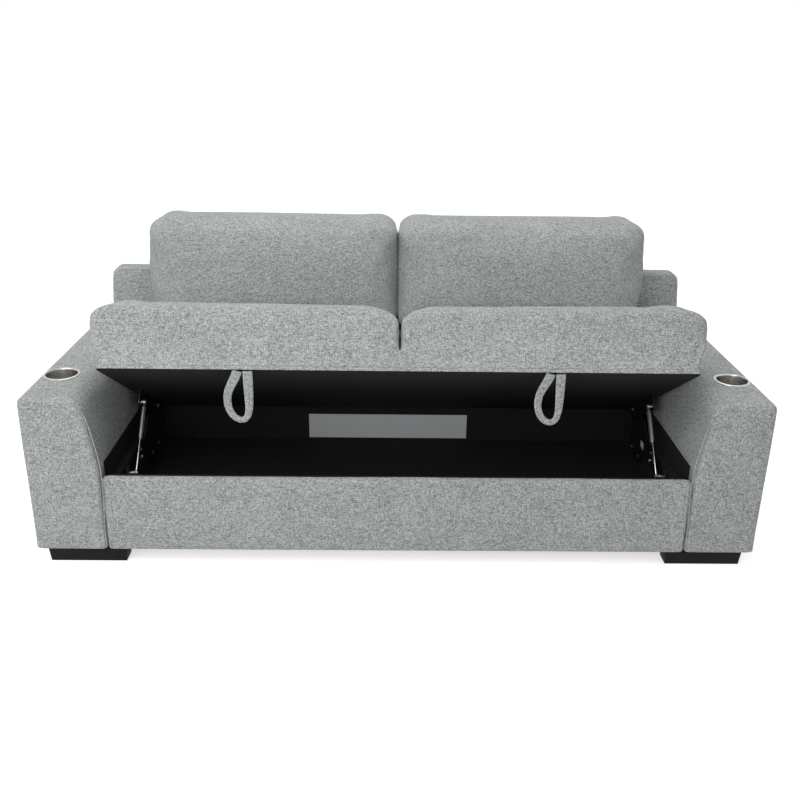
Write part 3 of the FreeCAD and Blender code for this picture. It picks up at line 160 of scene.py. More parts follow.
tweedPlan = {"run": 85.0, "across": 600.0, "nubs": 470.0, "contrast": 1.3,
             "slubAxes": (1.0, 0.95, 0.93),  # most slubs run along the sofa
             "yarnNoise": (1.0, 3.0, 0.65), "slubNoise": (0.5, 1.0, 0.5), "heather": 190.0, "cloud": 9.0,
             "shares": (3.4, 0.42, 0.75, 0.22),  # of yarns, nubs, heather and cloud in the tone
             "colours": [(0.0, (0.150, 0.163, 0.162)), (0.3, (0.270, 0.290, 0.283)),
                         (0.5, (0.375, 0.399, 0.389)), (0.7, (0.465, 0.490, 0.480)),
                         (1.0, (0.610, 0.632, 0.622))],
             "warm": (0.42, 0.39, 0.34, 1), "warmFrom": 0.80, "warmShare": 0.35,
             "dark": (0.12, 0.135, 0.14, 1), "darkFrom": 0.62, "darkFull": 0.69, "darkShare": 0.5,
             "nubHeight": -0.9, "yarnHeight": 1.2, "roughness": (-6.0, 1.1)}


def buildTweedYarns(plan):
    tree, given, made = newGroup(
        "tweedYarns",
        [("Place", "Vector", (0, 0, 0)), ("Facing", "Vector", (0, 0, 1)), ("Run", "Float", plan["run"]),
         ("Across", "Float", plan["across"]), ("Nubs", "Float", plan["nubs"]),
         ("Contrast", "Float", plan["contrast"])],
        [("Color", "Color"), ("Height", "Float"), ("Roughness", "Float")])
    facing = addNode(tree, "ShaderNodeSeparateXYZ", {0: given["Facing"]}).outputs
    yarns = slubs = None
    for number, slubShare in enumerate(plan["slubAxes"]):
        scales = [given["Across"]] * 3
        scales[number] = given["Run"]
        along = addNode(tree, "ShaderNodeCombineXYZ", dict(enumerate(scales))).outputs[0]
        place = stretched(tree, given["Place"], along)
        weight = sums(tree, "SUBTRACT", 1.0, sums(tree, "MULTIPLY", facing[number], facing[number]))
        yarn = sums(tree, "MULTIPLY", noiseOf(tree, place, *plan["yarnNoise"]), weight)
        slub = sums(tree, "MULTIPLY", noiseOf(tree, place, *plan["slubNoise"]),
                    sums(tree, "MULTIPLY", weight, slubShare))
        yarns = yarn if yarns is None else sums(tree, "ADD", yarns, yarn)
        slubs = slub if slubs is None else sums(tree, "MAXIMUM", slubs, slub)
    yarns = sums(tree, "MULTIPLY", yarns, 0.5)
    nub = addNode(tree, "ShaderNodeTexVoronoi", {"Vector": given["Place"], "Scale": given["Nubs"]}).outputs
    cell = addNode(tree, "ShaderNodeSeparateColor", {0: nub["Color"]}).outputs
    heather, cloudy = (noiseOf(tree, given["Place"], plan[key]) for key in ("heather", "cloud"))
    tone = 0.5
    for mark, share in zip((yarns, cell[0], heather, cloudy), plan["shares"]):
        tone = sums(tree, "MULTIPLY_ADD", sums(tree, "SUBTRACT", mark, 0.5), share, tone)
    tone = sums(tree, "MULTIPLY_ADD", sums(tree, "SUBTRACT", tone, 0.5), given["Contrast"], 0.5)
    colour = ramp(tree, tone, plan["colours"])
    warm = sums(tree, "MULTIPLY", spread(tree, cell[1], plan["warmFrom"], 1.0), plan["warmShare"])
    colour = blendColours(tree, warm, colour, plan["warm"])
    dark = sums(tree, "MULTIPLY", spread(tree, slubs, plan["darkFrom"], plan["darkFull"]), plan["darkShare"])
    tree.links.new(blendColours(tree, dark, colour, plan["dark"]), made["Color"])
    bumps = sums(tree, "MULTIPLY_ADD", nub["Distance"], plan["nubHeight"],
                 sums(tree, "MULTIPLY", yarns, plan["yarnHeight"]))
    tree.links.new(bumps, made["Height"])
    tree.links.new(spread(tree, tone, -0.5, 1.5), made["Roughness"])
    return tree


# Black lining: matted fibres, with long soft folds where it is pulled.

fibrePlan = {"fibres": 620.0, "fibresAlong": (1.0, 0.6, 1.4), "slack": 3.2, "slackAlong": (1.0, 2.6, 2.2),
             "dust": 240.0, "dustFrom": 0.72, "dustFull": 0.80, "dustShare": 0.25, "fold": 0.6,
             "fibreHeight": 0.04, "dusty": (0.06, 0.06, 0.058, 1),
             "colours": [(0.3, (0.018, 0.018, 0.0185)), (0.7, (0.034, 0.034, 0.0345))]}


def buildLiningFibres(plan):
    tree, given, made = newGroup(
        "liningFibres",
        [("Place", "Vector", (0, 0, 0)), ("Fold", "Float", plan["fold"])],
        [("Color", "Color"), ("Height", "Float")])
    fibres = noiseOf(tree, stretched(tree, given["Place"], plan["fibresAlong"]), plan["fibres"], 3.0, 0.7)
    slack = noiseOf(tree, stretched(tree, given["Place"], plan["slackAlong"]), plan["slack"], 2.0, 0.4)
    dust = spread(tree, noiseOf(tree, given["Place"], plan["dust"], 1.0), plan["dustFrom"], plan["dustFull"])
    dust = sums(tree, "MULTIPLY", dust, plan["dustShare"])
    colour = blendColours(tree, dust, ramp(tree, fibres, plan["colours"]), plan["dusty"])
    tree.links.new(colour, made["Color"])
    height = sums(tree, "MULTIPLY_ADD", slack, given["Fold"],
                  sums(tree, "MULTIPLY", fibres, plan["fibreHeight"]))
    tree.links.new(height, made["Height"])
    return tree


# Fine grain for metal, plastic, card and timber: a mask of small marks and a soft cloudiness.

grainPlan = {"scale": 400.0, "detail": 3.0, "cloud": 14.0, "marksFrom": 0.3, "marksFull": 0.7,
             "roughSwing": 0.16, "bumpDistance": 0.0004}


def buildFineGrain(plan):
    tree, given, made = newGroup(
        "fineGrain",
        [("Place", "Vector", (0, 0, 0)), ("Stretch", "Vector", (1, 1, 1)), ("Scale", "Float", plan["scale"])],
        [("Grain", "Float"), ("Cloud", "Float")])
    place = stretched(tree, given["Place"], given["Stretch"])
    grain = addNode(tree, "ShaderNodeTexNoise",
                    {"Vector": place, "Scale": given["Scale"], "Detail": plan["detail"]})
    tree.links.new(grain.outputs["Fac"], made["Grain"])
    tree.links.new(noiseOf(tree, given["Place"], plan["cloud"], plan["detail"]), made["Cloud"])
    return tree


tweedYarns = buildTweedYarns(tweedPlan)
liningFibres = buildLiningFibres(fibrePlan)
fineGrain = buildFineGrain(grainPlan)


def emptyTree(owner):
    owner.use_nodes = True
    owner.node_tree.nodes.clear()
    return owner.node_tree


def newMaterial(name, roughness, **constants):
    material = bpy.data.materials.new(name)
    tree = emptyTree(material)
    shader = addNode(tree, "ShaderNodeBsdfPrincipled", {"Roughness": roughness, **constants})
    addNode(tree, "ShaderNodeOutputMaterial", {"Surface": shader.outputs[0]})
    return material, tree, shader, addNode(tree, "ShaderNodeTexCoord").outputs


def addBump(tree, shader, height, strength, distance):
    bump = addNode(tree, "ShaderNodeBump", {"Height": height, "Strength": strength, "Distance": distance})
    tree.links.new(bump.outputs[0], shader.inputs["Normal"])


def tweed(name, turn=0.0, contrast=tweedPlan["contrast"]):
    material, tree, shader, coords = newMaterial(
        name, 0.92, **{"Sheen Weight": 0.12, "Sheen Roughness": 0.6, "Specular IOR Level": 0.2})
    place, facing = coords["Object"], coords["Normal"]
    if turn:  # the lid's cloth was woven flat and is seen turned
        place, facing = (addNode(tree, "ShaderNodeVectorRotate", {"Vector": way, "Angle": turn},
                                 rotation_type="X_AXIS").outputs[0] for way in (place, facing))
    yarns = addNode(tree, "ShaderNodeGroup", {"Place": place, "Facing": facing, "Contrast": contrast},
                    node_tree=tweedYarns)
    tree.links.new(yarns.outputs["Color"], shader.inputs["Base Color"])
    rough = spread(tree, yarns.outputs["Roughness"], *tweedPlan["roughness"])
    tree.links.new(rough, shader.inputs["Roughness"])
    addBump(tree, shader, yarns.outputs["Height"], strength=0.55, distance=0.0012)
    return material


def lining(name, fold):
    material, tree, shader, coords = newMaterial(name, 0.9, **{"Specular IOR Level": 0.08})
    fibres = addNode(tree, "ShaderNodeGroup", {"Place": coords["Object"], "Fold": fold},
                     node_tree=liningFibres)
    tree.links.new(fibres.outputs["Color"], shader.inputs["Base Color"])
    addBump(tree, shader, fibres.outputs["Height"], strength=0.7, distance=0.004)
    return material


def grained(name, light, dark, roughness, stretch=(1, 1, 1), scale=grainPlan["scale"], bump=0.1, cloud=0.2,
            **constants):
    material, tree, shader, coords = newMaterial(name, roughness, **constants)
    marks = addNode(tree, "ShaderNodeGroup", {"Place": coords["Object"], "Stretch": stretch, "Scale": scale},
                    node_tree=fineGrain)
    share = sums(tree, "MULTIPLY_ADD", marks.outputs["Cloud"], cloud,
                 sums(tree, "MULTIPLY", marks.outputs["Grain"], 1 - cloud))
    share = spread(tree, share, grainPlan["marksFrom"], grainPlan["marksFull"])
    tree.links.new(blendColours(tree, share, (*dark, 1), (*light, 1)), shader.inputs["Base Color"])
    swing = grainPlan["roughSwing"]
    rough = sums(tree, "MULTIPLY_ADD", spread(tree, marks.outputs["Grain"], 0.0, 1.0), swing,
                 roughness - swing / 2)
    tree.links.new(rough, shader.inputs["Roughness"])
    addBump(tree, shader, marks.outputs["Grain"], bump, grainPlan["bumpDistance"])
    return material


greyTweed = tweed("greyTweed")
lidTweed = tweed("lidTweed", turn=lidTravel)
loopTweed = tweed("loopTweed", contrast=1.4)
blackLining = lining("blackLining", 0.5)
slackLining = lining("slackLining", 1.2)
darkThread = grained("darkThread", (0.24, 0.25, 0.25), (0.12, 0.13, 0.13), 0.8, scale=900.0)
footBlack = grained("footBlack", (0.013, 0.0125, 0.0145), (0.008, 0.008, 0.009), 0.6, scale=700.0, bump=0.25,
                    **{"Specular IOR Level": 0.12})
cupSteel = grained("cupSteel", (0.62, 0.61, 0.59), (0.50, 0.49, 0.47), 0.24, stretch=(0.02, 0.02, 3.0),
                   scale=500.0, bump=0.15, Metallic=1.0)
blackSteel = grained("blackSteel", (0.022, 0.022, 0.023), (0.010, 0.010, 0.011), 0.45, scale=900.0, bump=0.3,
                     Metallic=0.4)
boltZinc = grained("boltZinc", (0.66, 0.67, 0.68), (0.42, 0.43, 0.44), 0.3, scale=600.0, Metallic=1.0)
strutSilver = grained("strutSilver", (0.62, 0.63, 0.64), (0.48, 0.49, 0.50), 0.32, stretch=(1, 1, 0.2),
                      scale=500.0, Metallic=0.9)
rodChrome = grained("rodChrome", (0.80, 0.80, 0.81), (0.70, 0.70, 0.71), 0.12, scale=300.0, bump=0.03,
                    Metallic=1.0)
plywood = grained("plywood", (0.50, 0.34, 0.19), (0.33, 0.20, 0.10), 0.7, stretch=(0.05, 1, 1), scale=120.0,
                  bump=0.5, cloud=0.35)
foamCream = grained("foamCream", (0.66, 0.58, 0.36), (0.52, 0.45, 0.27), 0.9, scale=520.0, bump=0.8)
webJute = grained("webJute", (0.16, 0.12, 0.08), (0.06, 0.05, 0.04), 0.85, stretch=(1, 0.3, 1), scale=500.0,
                  bump=0.7)
cardPale = grained("cardPale", (0.90, 0.92, 0.93), (0.84, 0.86, 0.88), 0.5, scale=160.0, bump=0.1, cloud=0.5)
labelPale = grained("labelPale", (0.86, 0.85, 0.74), (0.80, 0.79, 0.66), 0.5, scale=300.0, bump=0.1)
print("materials ready")


# Modelling helpers

def nothingPicked():
    bpy.ops.object.select_all(action="DESELECT")


def pick(obj):
    nothingPicked()
    obj.select_set(True)
    bpy.context.view_layer.objects.active = obj


def settle(obj):
    pick(obj)
    bpy.ops.object.transform_apply()
    return obj


def named(name):
    obj = bpy.context.object
    obj.name = obj.data.name = name
    return obj


def box(name, low, high):
    nothingPicked()
    low, high = Vector(low), Vector(high)
    bpy.ops.mesh.primitive_cube_add(size=1, location=(low + high) / 2)
    obj = named(name)
    obj.scale = high - low
    return settle(obj)


def modify(obj, kind, **settings):
    pick(obj)
    modifier = obj.modifiers.new(kind.title(), kind)
    for key, value in settings.items():
        setattr(modifier, key, value)
    bpy.ops.object.modifier_apply(modifier=modifier.name)


def editing(obj, mode):
    pick(obj)
    bpy.ops.object.mode_set(mode="EDIT")
    bpy.ops.mesh.select_mode(type=mode)
    bpy.ops.mesh.select_all(action="DESELECT")
    return bmesh.from_edit_mesh(obj.data)


def editAll(obj):
    editing(obj, "VERT")
    bpy.ops.mesh.select_all(action="SELECT")


def leaveEditing():
    bpy.ops.object.mode_set(mode="OBJECT")


def pickSome(obj, mode, test):
    mesh = editing(obj, mode)
    for part in mesh.edges if mode == "EDGE" else mesh.verts:
        ends = part.verts if mode == "EDGE" else (part,)
        if test(*(vertex.co for vertex in ends)):
            part.select = True
    mesh.select_flush_mode()
    bmesh.update_edit_mesh(obj.data)


def bevelEdges(obj, test, width, steps):
    pickSome(obj, "EDGE", test)
    bpy.ops.mesh.bevel(offset=width, segments=steps, clamp_overlap=True)
    leaveEditing()


def moveCorners(obj, test, shift):
    pickSome(obj, "VERT", test)
    bpy.ops.transform.translate(value=shift)
    leaveEditing()


def cutAcross(obj, at, normal):
    editAll(obj)
    bpy.ops.mesh.bisect(plane_co=at, plane_no=normal)
    leaveEditing()


def cutAway(obj, tool):
    modify(obj, "BOOLEAN", object=tool, operation="DIFFERENCE", solver="EXACT")
    bpy.data.objects.remove(tool)


def copyNode(node, name):
    obj = linked(name, frame["nodes"][node].data.copy())
    obj.data.name = name
    obj.data.materials.clear()
    editAll(obj)
    bpy.ops.mesh.remove_doubles(threshold=0.00002)
    bpy.ops.mesh.customdata_custom_splitnormals_clear()
    leaveEditing()
    return obj


def tidyFlats(obj):
    editAll(obj)
    bpy.ops.mesh.dissolve_limited(angle_limit=math.radians(2))
    leaveEditing()


def faceOutward(obj):
    editAll(obj)
    bpy.ops.mesh.normals_make_consistent(inside=False)
    leaveEditing()


def cylinder(name, vertices, radius, depth, at):
    nothingPicked()
    bpy.ops.mesh.primitive_cylinder_add(vertices=vertices, radius=radius, depth=depth, location=at)
    return settle(named(name))


def vectorsOf(items, key):
    values = np.zeros(len(items) * 3)
    items.foreach_get(key, values)
    return values.reshape(-1, 3)


def coordsOf(obj):
    return vectorsOf(obj.data.vertices, "co")


def normalsOf(obj):
    return vectorsOf(obj.data.vertex_normals, "vector")


def setCoords(obj, coords):
    obj.data.vertices.foreach_set("co", np.asarray(coords, np.float32).ravel())
    obj.data.update()


def rise(values, start, over):
    return np.clip((values - start) / over, 0, 1)


def ripple(obj, depth, waves, mask=None):
    # soft unevenness: each point moves along its normal by a smooth noise of that depth
    coords, normals = coordsOf(obj), normalsOf(obj)
    amounts = np.array([noise.noise(Vector(point) * waves) for point in coords]) * depth
    if mask is not None:
        amounts *= mask(coords)
    setCoords(obj, coords + normals * amounts[:, None])


def fineVoxels(obj, size, smoothing=3):
    modify(obj, "REMESH", mode="VOXEL", voxel_size=size)
    modify(obj, "SMOOTH", iterations=smoothing)


def dress(obj, material, slot, *nodes, body="sofa_base", angle=None):
    obj.data.materials.clear()
    obj.data.materials.append(material)
    pick(obj)
    if angle is None:
        bpy.ops.object.shade_smooth()
    else:
        bpy.ops.object.shade_smooth_by_angle(angle=math.radians(angle))
    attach(obj, body)
    if nodes:
        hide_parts(*nodes)


def tube(name, points, radius=0, taper=()):
    # a smooth curve along the points; without a radius it stays a bare line
    curve = bpy.data.curves.new(name, "CURVE")
    curve.dimensions = "3D"
    spline = curve.splines.new("NURBS")
    spline.points.add(len(points) - 1)
    for spot, point in zip(spline.points, points):
        spot.co = (*point, 1)
    for spot, share in zip(spline.points, taper):
        spot.radius = share
    spline.order_u = 3
    spline.use_endpoint_u = True
    spline.resolution_u = 6
    curve.bevel_depth = radius
    curve.bevel_resolution = 3
    curve.use_fill_caps = True
    pick(linked(name, curve))
    bpy.ops.object.convert(target="MESH")
    return named(name)


def joinAll(name, parts):
    nothingPicked()
    for part in parts:
        part.select_set(True)
    bpy.context.view_layer.objects.active = parts[0]
    bpy.ops.object.join()
    return named(name)


def stitches(name, points, plan):
    # a row of short thread stitches along a line of points on the front
    nothingPicked()
    bpy.ops.mesh.primitive_uv_sphere_add(segments=6, ring_count=4, radius=0.5)
    first = named(name + "First")
    first.scale = (plan["length"], plan["width"], plan["width"])
    settle(first)
    outward = Vector((0, -1, 0))
    lengths = [0.0]
    for a, b in zip(points, points[1:]):
        lengths.append(lengths[-1] + (b - a).length)
    parts = []
    at = plan["pitch"] / 2
    while at < lengths[-1]:
        number = next(k for k in range(1, len(lengths)) if lengths[k] >= at)
        share = (at - lengths[number - 1]) / (lengths[number] - lengths[number - 1])
        a, b = points[number - 1:number + 1]
        along = (b - a).normalized()
        turn = Matrix((along, along.cross(outward).normalized(), outward)).transposed().to_4x4()
        part = linked(name + "Part", first.data.copy())
        part.data.transform(Matrix.Translation(a.lerp(b, share) + outward * plan["lift"]) @ turn)
        parts.append(part)
        at += plan["pitch"]
    bpy.data.objects.remove(first)
    return joinAll(name, parts)


# Padded pieces: the form from the part, remeshed, blown up as cloth, held to a small growth.

clothPlan = {"moments": 20,
             "settings": {"quality": 4, "mass": 0.3, "use_pressure": True, "uniform_pressure_force": 4.0,
                          "tension_stiffness": 14, "compression_stiffness": 14, "bending_stiffness": 0.5}}


def inflate(obj, plan, held):
    pick(obj)
    cloth = obj.modifiers.new("Cloth", "CLOTH")
    for key, value in plan["settings"].items():
        setattr(cloth.settings, key, value)
    cloth.settings.effector_weights.gravity = 0
    cloth.collision_settings.use_collision = False
    if held is not None:
        group = obj.vertex_groups.new(name="held")
        group.add([int(k) for k in np.nonzero(held(coordsOf(obj)))[0]], 1.0, "REPLACE")
        cloth.settings.vertex_group_mass = "held"
    cloth.point_cache.frame_start = 1
    cloth.point_cache.frame_end = plan["moments"]
    for moment in range(1, plan["moments"] + 1):
        bpy.context.scene.frame_set(moment)
    bpy.ops.object.modifier_apply(modifier=cloth.name)
    bpy.context.scene.frame_set(1)


def puffUp(obj, plan, held=None):
    fineVoxels(obj, plan["voxel"], plan["smooth"])
    start = coordsOf(obj)
    inflate(obj, clothPlan, held)
    moved = coordsOf(obj) - start
    reach = np.linalg.norm(moved, axis=1, keepdims=True)
    moved *= np.minimum(1.0, plan["cap"] / np.maximum(reach, 1e-9))
    setCoords(obj, start + moved)
    modify(obj, "SMOOTH", iterations=plan["smoothAfter"])
    modify(obj, "SUBSURF", levels=1, render_levels=1)


# Back cushions

backCushionPlan = {"voxel": 0.009, "smooth": 4, "cap": 0.010, "smoothAfter": 12, "gap": 0.0001,
                   "uneven": (0.0022, 3.0), "foot": 0.505, "top": 0.903,
                   "outer": ((0.54, 0.888), (0.60, 0.903), (0.66, 0.913), (0.72, 0.916), (0.78, 0.914)),
                   "inner": ((0.54, -0.004), (0.66, -0.004), (0.78, -0.004), (0.83, -0.004), (0.862, -0.002)),
                   "levelBand": 0.012, "reach": 0.20, "cornerAt": (0.80, 0.83), "cornerOver": (0.09, 0.06),
                   "cornerFill": 0.013, "cornerRise": 0.6, "crown": 0.010, "crownFrom": 0.7, "crownOver": 0.2}


def backCushion(name, side, plan):
    obj = copyNode("back_cushion_" + name, "backCushion" + name.title())
    puffUp(obj, plan)
    ripple(obj, *plan["uneven"])
    coords = coordsOf(obj)
    height = coords[:, 2] - plan["foot"]
    coords[:, 2] = plan["foot"] + height * (plan["top"] - plan["foot"]) / height.max()
    across = side * coords[:, 0]
    for end, sign in (("outer", 1), ("inner", -1)):  # both ends are brought to their lines
        levels, line = zip(*plan[end])
        ends = [np.max(sign * across[np.abs(coords[:, 2] - level) < plan["levelBand"]]) for level in levels]
        now = np.interp(coords[:, 2], levels, ends)
        wanted = np.interp(coords[:, 2], levels, line) * sign
        share = np.clip(1 - (now - sign * across) / plan["reach"], 0, 1) ** 2
        across = across + sign * (wanted - now) * share
    cornerX, cornerZ = plan["cornerAt"]
    overX, overZ = plan["cornerOver"]
    fill = rise(across, cornerX, overX) * rise(coords[:, 2], cornerZ, overZ)
    across = across + plan["cornerFill"] * fill
    coords[:, 2] += plan["cornerRise"] * plan["cornerFill"] * fill
    middle = (plan["outer"][-1][1] + plan["gap"]) / 2
    upper = rise(coords[:, 2], plan["crownFrom"], plan["crownOver"])
    coords[:, 2] += plan["crown"] * (1 - ((across - middle) / middle) ** 2) * upper
    coords[:, 0] = side * np.maximum(across, plan["gap"])
    setCoords(obj, coords)
    dress(obj, greyTweed, "grey_tweed", "back_cushion_" + name)


for sideName, sideSign in sides:
    backCushion(sideName, sideSign, backCushionPlan)
print("back cushions ready")


# Seat cushions on the lid, and the band that runs round under them

seatPlan = {"voxel": 0.011, "smooth": 3, "cap": 0.009, "smoothAfter": 2, "skirt": 0.024, "heldBelow": 0.010,
            "uneven": (0.0025, 5.0), "unevenFrom": 0.02, "unevenOver": 0.05,
            "bandUp": 0.03, "corner": 0.014, "middleHalf": 0.03, "middleIn": 0.02, "middleUp": 0.11,
            "ends": [(0, 0.8825), (0.022, 0.883), (0.05, 0.899), (0.078, 0.913), (0.139, 0.917),
                     (0.165, 0.914), (0.185, 0.900), (0.20, 0.871)],
            "endsFrom": 0.85, "top": 0.230,
            "roll": (0.010, 0.015), "rollUp": (0.09, 0.11), "rollBack": (0.15, 0.13),
            "notchHalf": 0.100, "notchDrop": 0.19, "notchPower": 1.3,
            "crease": [(0, 0.055), (0.002, 0.052), (0.0042, 0.012), (0.009, 0.003), (0.020, 0)],
            "creaseFoot": 0.063, "creaseFade": 0.03, "creasePower": 0.7,
            "seamUp": 0.012, "seamDepth": 0.0012, "seamHalf": 0.0018, "onSeam": 3e-4, "wall": 0.012,
            "stitch": {"pitch": 0.0075, "length": 0.0052, "width": 0.0011, "lift": 0.0001, "every": 6}}


def endsAt(coords, heights, reach=0.008):
    # how far the piece reaches sideways at each height
    return np.array([np.abs(coords[np.abs(coords[:, 2] - height) < reach, 0]).max() for height in heights])


def shutBox(node):
    coords = np.array([lidShuts @ vertex.co for vertex in frame["nodes"][node].data.vertices])
    return coords.min(0), coords.max(0)


def seatStart(plan, low, high):
    band = box("seatBandStart", low - Vector((0, 0, plan["skirt"])), high + Vector((0, 0, plan["bandUp"])))
    bevelEdges(band, lambda a, b: abs(a.z - b.z) > 0.05, plan["corner"], 6)
    parts = [band]
    for name, _ in sides:
        part = copyNode("seat_cushion_" + name, "seatCushionStart" + name.title())
        part.data.transform(lidShuts)
        parts.append(part)
    half, inside = plan["middleHalf"], plan["middleIn"]
    parts.append(box("seatMiddle", (-half, low.y + inside, high.z - inside),
                     (half, high.y - inside, high.z + plan["middleUp"])))
    return joinAll("seatUpholstery", parts)


def shapeSeat(obj, plan, foot, front):
    # brings the blown up seat to its height, its rolled front edge, its ends and the dip at its middle
    coords = coordsOf(obj)
    height = coords[:, 2] - foot
    taller = plan["top"] / height.max() - 1
    coords[:, 2] += height * taller * np.clip(height / height.max(), 0, 1)
    (upFrom, upOver), (backFrom, backOver) = plan["rollUp"], plan["rollBack"]
    roll = rise(height, upFrom, upOver) * rise(-coords[:, 1], -front - backFrom, backOver)
    coords[:, 1] -= plan["roll"][0] * roll
    coords[:, 2] += plan["roll"][1] * roll
    height = coords[:, 2] - foot
    levels, ends = zip(*plan["ends"])
    wider = np.interp(height, levels, np.array(ends) / endsAt(coords, foot + np.array(levels))) - 1
    coords[:, 0] *= 1 + wider * np.clip(np.abs(coords[:, 0]) / plan["endsFrom"], 0, 1) ** 3
    above = np.maximum(height - plan["creaseFoot"], 0)
    across = np.clip(1 - np.abs(coords[:, 0]) / plan["notchHalf"], 0, 1)
    coords[:, 2] -= above * plan["notchDrop"] * across ** plan["notchPower"]
    setCoords(obj, coords)


def creaseSeat(obj, plan, foot):
    # the crease between the cushions and the seam along the foot, each on edges cut for it
    for across, _ in plan["crease"]:
        for _, side in sides:
            cutAcross(obj, (side * across, 0, 0), (1, 0, 0))
    for step in (-plan["seamHalf"], 0, plan["seamHalf"]):
        cutAcross(obj, (0, 0, foot + plan["seamUp"] + step), (0, 0, 1))
    coords, inward = coordsOf(obj), normalsOf(obj)
    inward[:, 0] = 0
    inward /= np.maximum(np.linalg.norm(inward, axis=1, keepdims=True), 1e-6)
    depth = np.interp(np.abs(coords[:, 0]), *zip(*plan["crease"]))
    depth *= rise(coords[:, 2], foot + plan["creaseFoot"], plan["creaseFade"]) ** plan["creasePower"]
    isSeam = np.abs(coords[:, 2] - foot - plan["seamUp"]) < plan["onSeam"]
    depth += np.where(isSeam, plan["seamDepth"], 0)
    setCoords(obj, coords - inward * depth[:, None])


def seatFrontLine(obj, plan, foot, front):
    # the seam's own points along the front, from left to right
    level = foot + plan["seamUp"]
    points = sorted(tuple(c) for c in coordsOf(obj) if abs(c[2] - level) < plan["onSeam"]
                    and c[1] < front + 0.02 and abs(c[0]) < plan["endsFrom"])
    return [Vector(point) for point in points[::plan["stitch"]["every"]]]


def seatUpholstery(plan):
    # band and both cushions in one cover, as sewn: its front is one panel that creases at the middle
    low, high = (Vector(corner) for corner in shutBox("seat_band"))
    foot = low.z
    obj = seatStart(plan, low, high)
    puffUp(obj, plan, held=lambda coords: coords[:, 2] < foot + plan["heldBelow"])
    ripple(obj, *plan["uneven"],
           mask=lambda coords: rise(coords[:, 2], foot + plan["unevenFrom"], plan["unevenOver"]))
    shapeSeat(obj, plan, foot, low.y)
    creaseSeat(obj, plan, foot)
    slack, beyond = 0.0005, 0.1
    room = plan["wall"] + slack
    cutAway(obj, box("seatRoom", (low.x + room, low.y + room, foot - beyond / 2),
                     (high.x - room, high.y - room, high.z + slack)))
    cutAway(obj, box("seatSkirt", (low.x - beyond, low.y - beyond, foot - beyond),
                     (high.x + beyond, high.y + beyond, foot)))
    front = seatFrontLine(obj, plan, foot, low.y)
    obj.data.transform(lidOpens)
    dress(obj, lidTweed, "grey_tweed", "seat_band", "seat_cushion_left", "seat_cushion_right", body="lid",
          angle=60)
    obj.data.materials.append(blackLining)
    under = lidOpens.to_3x3() @ Vector((0, 0, -1))
    for face in obj.data.polygons:
        isUnder = face.normal.dot(under) > 0.95 and (lidShuts @ face.center).z < foot + near
        face.material_index = 1 if isUnder else 0
    thread = stitches("seatStitches", front, plan["stitch"])
    thread.data.transform(lidOpens)
    dress(thread, darkThread, "grey_tweed", body="lid")


seatUpholstery(seatPlan)
print("seat ready")


# Arms: a padded cover with a flat top, a leaning inner face and a piped front panel

armPlan = {"inner": 0.885, "outer": 1.100, "front": -0.540, "rear": 0.440, "bottom": 0.047, "top": 0.544,
           "leanFrom": 0.320, "lean": 0.035, "crown": 0.048, "edge": 0.018, "frontRound": 0.010,
           "voxel": 0.0065, "swell": 0.004, "swellDeep": 0.012, "swellHalf": (0.095, 0.24),
           "swellPower": (2, 4), "uneven": (0.0016, 7.0), "unevenOver": 0.03, "cup": (1.033, -0.340),
           "cupHole": 0.0478, "padding": 0.012,
           "piping": [(0.885, 0.060), (0.8855, 0.120), (0.880, 0.200), (0.877, 0.285), (0.8785, 0.330),
                      (0.8825, 0.363), (0.8925, 0.424), (0.9025, 0.473), (0.9145, 0.507), (0.936, 0.526),
                      (0.962, 0.533), (0.990, 0.5355)],
           "pipingRadius": 0.0018, "pipingOut": 0.0006, "pipingEnd": [0.8, 0.5, 0.15],
           "frameEase": 0.030, "roomEase": 0.029}


def armBlock(name, plan):
    obj = box(name, (plan["inner"], plan["front"], plan["bottom"]), (plan["outer"], plan["rear"], plan["top"]))
    inner, shoulder, top = plan["inner"], plan["inner"] + plan["lean"], plan["top"] - near
    cutAcross(obj, (0, 0, plan["leanFrom"]), (0, 0, 1))
    moveCorners(obj, lambda c: c.x < inner + near and c.z > top, (plan["lean"], 0, 0))
    bevelEdges(obj, lambda a, b: abs(a.x - shoulder) < near and abs(b.x - shoulder) < near
               and min(a.z, b.z) > top, plan["crown"], 8)
    bevelEdges(obj, lambda a, b: min(a.x, b.x) > plan["outer"] - near and min(a.z, b.z) > top, plan["edge"], 4)
    bevelEdges(obj, lambda a, b: max(a.y, b.y) < plan["front"] + near and max(a.z, b.z) > plan["bottom"] + near
               and abs(a.z - plan["leanFrom"]) + abs(b.z - plan["leanFrom"]) > near, plan["frontRound"], 3)
    return obj


def swellFront(obj, plan, front, middle):
    # a front panel bulges most at its middle
    coords = coordsOf(obj)
    bulge = plan["swell"] * (coords[:, 1] < front + plan["swellDeep"])
    for axis, centre, half, power in zip((0, 2), middle, plan["swellHalf"], plan["swellPower"]):
        bulge = bulge * np.clip(1 - ((coords[:, axis] - centre) / half) ** power, 0, 1)
    coords[:, 1] -= bulge
    setCoords(obj, coords)


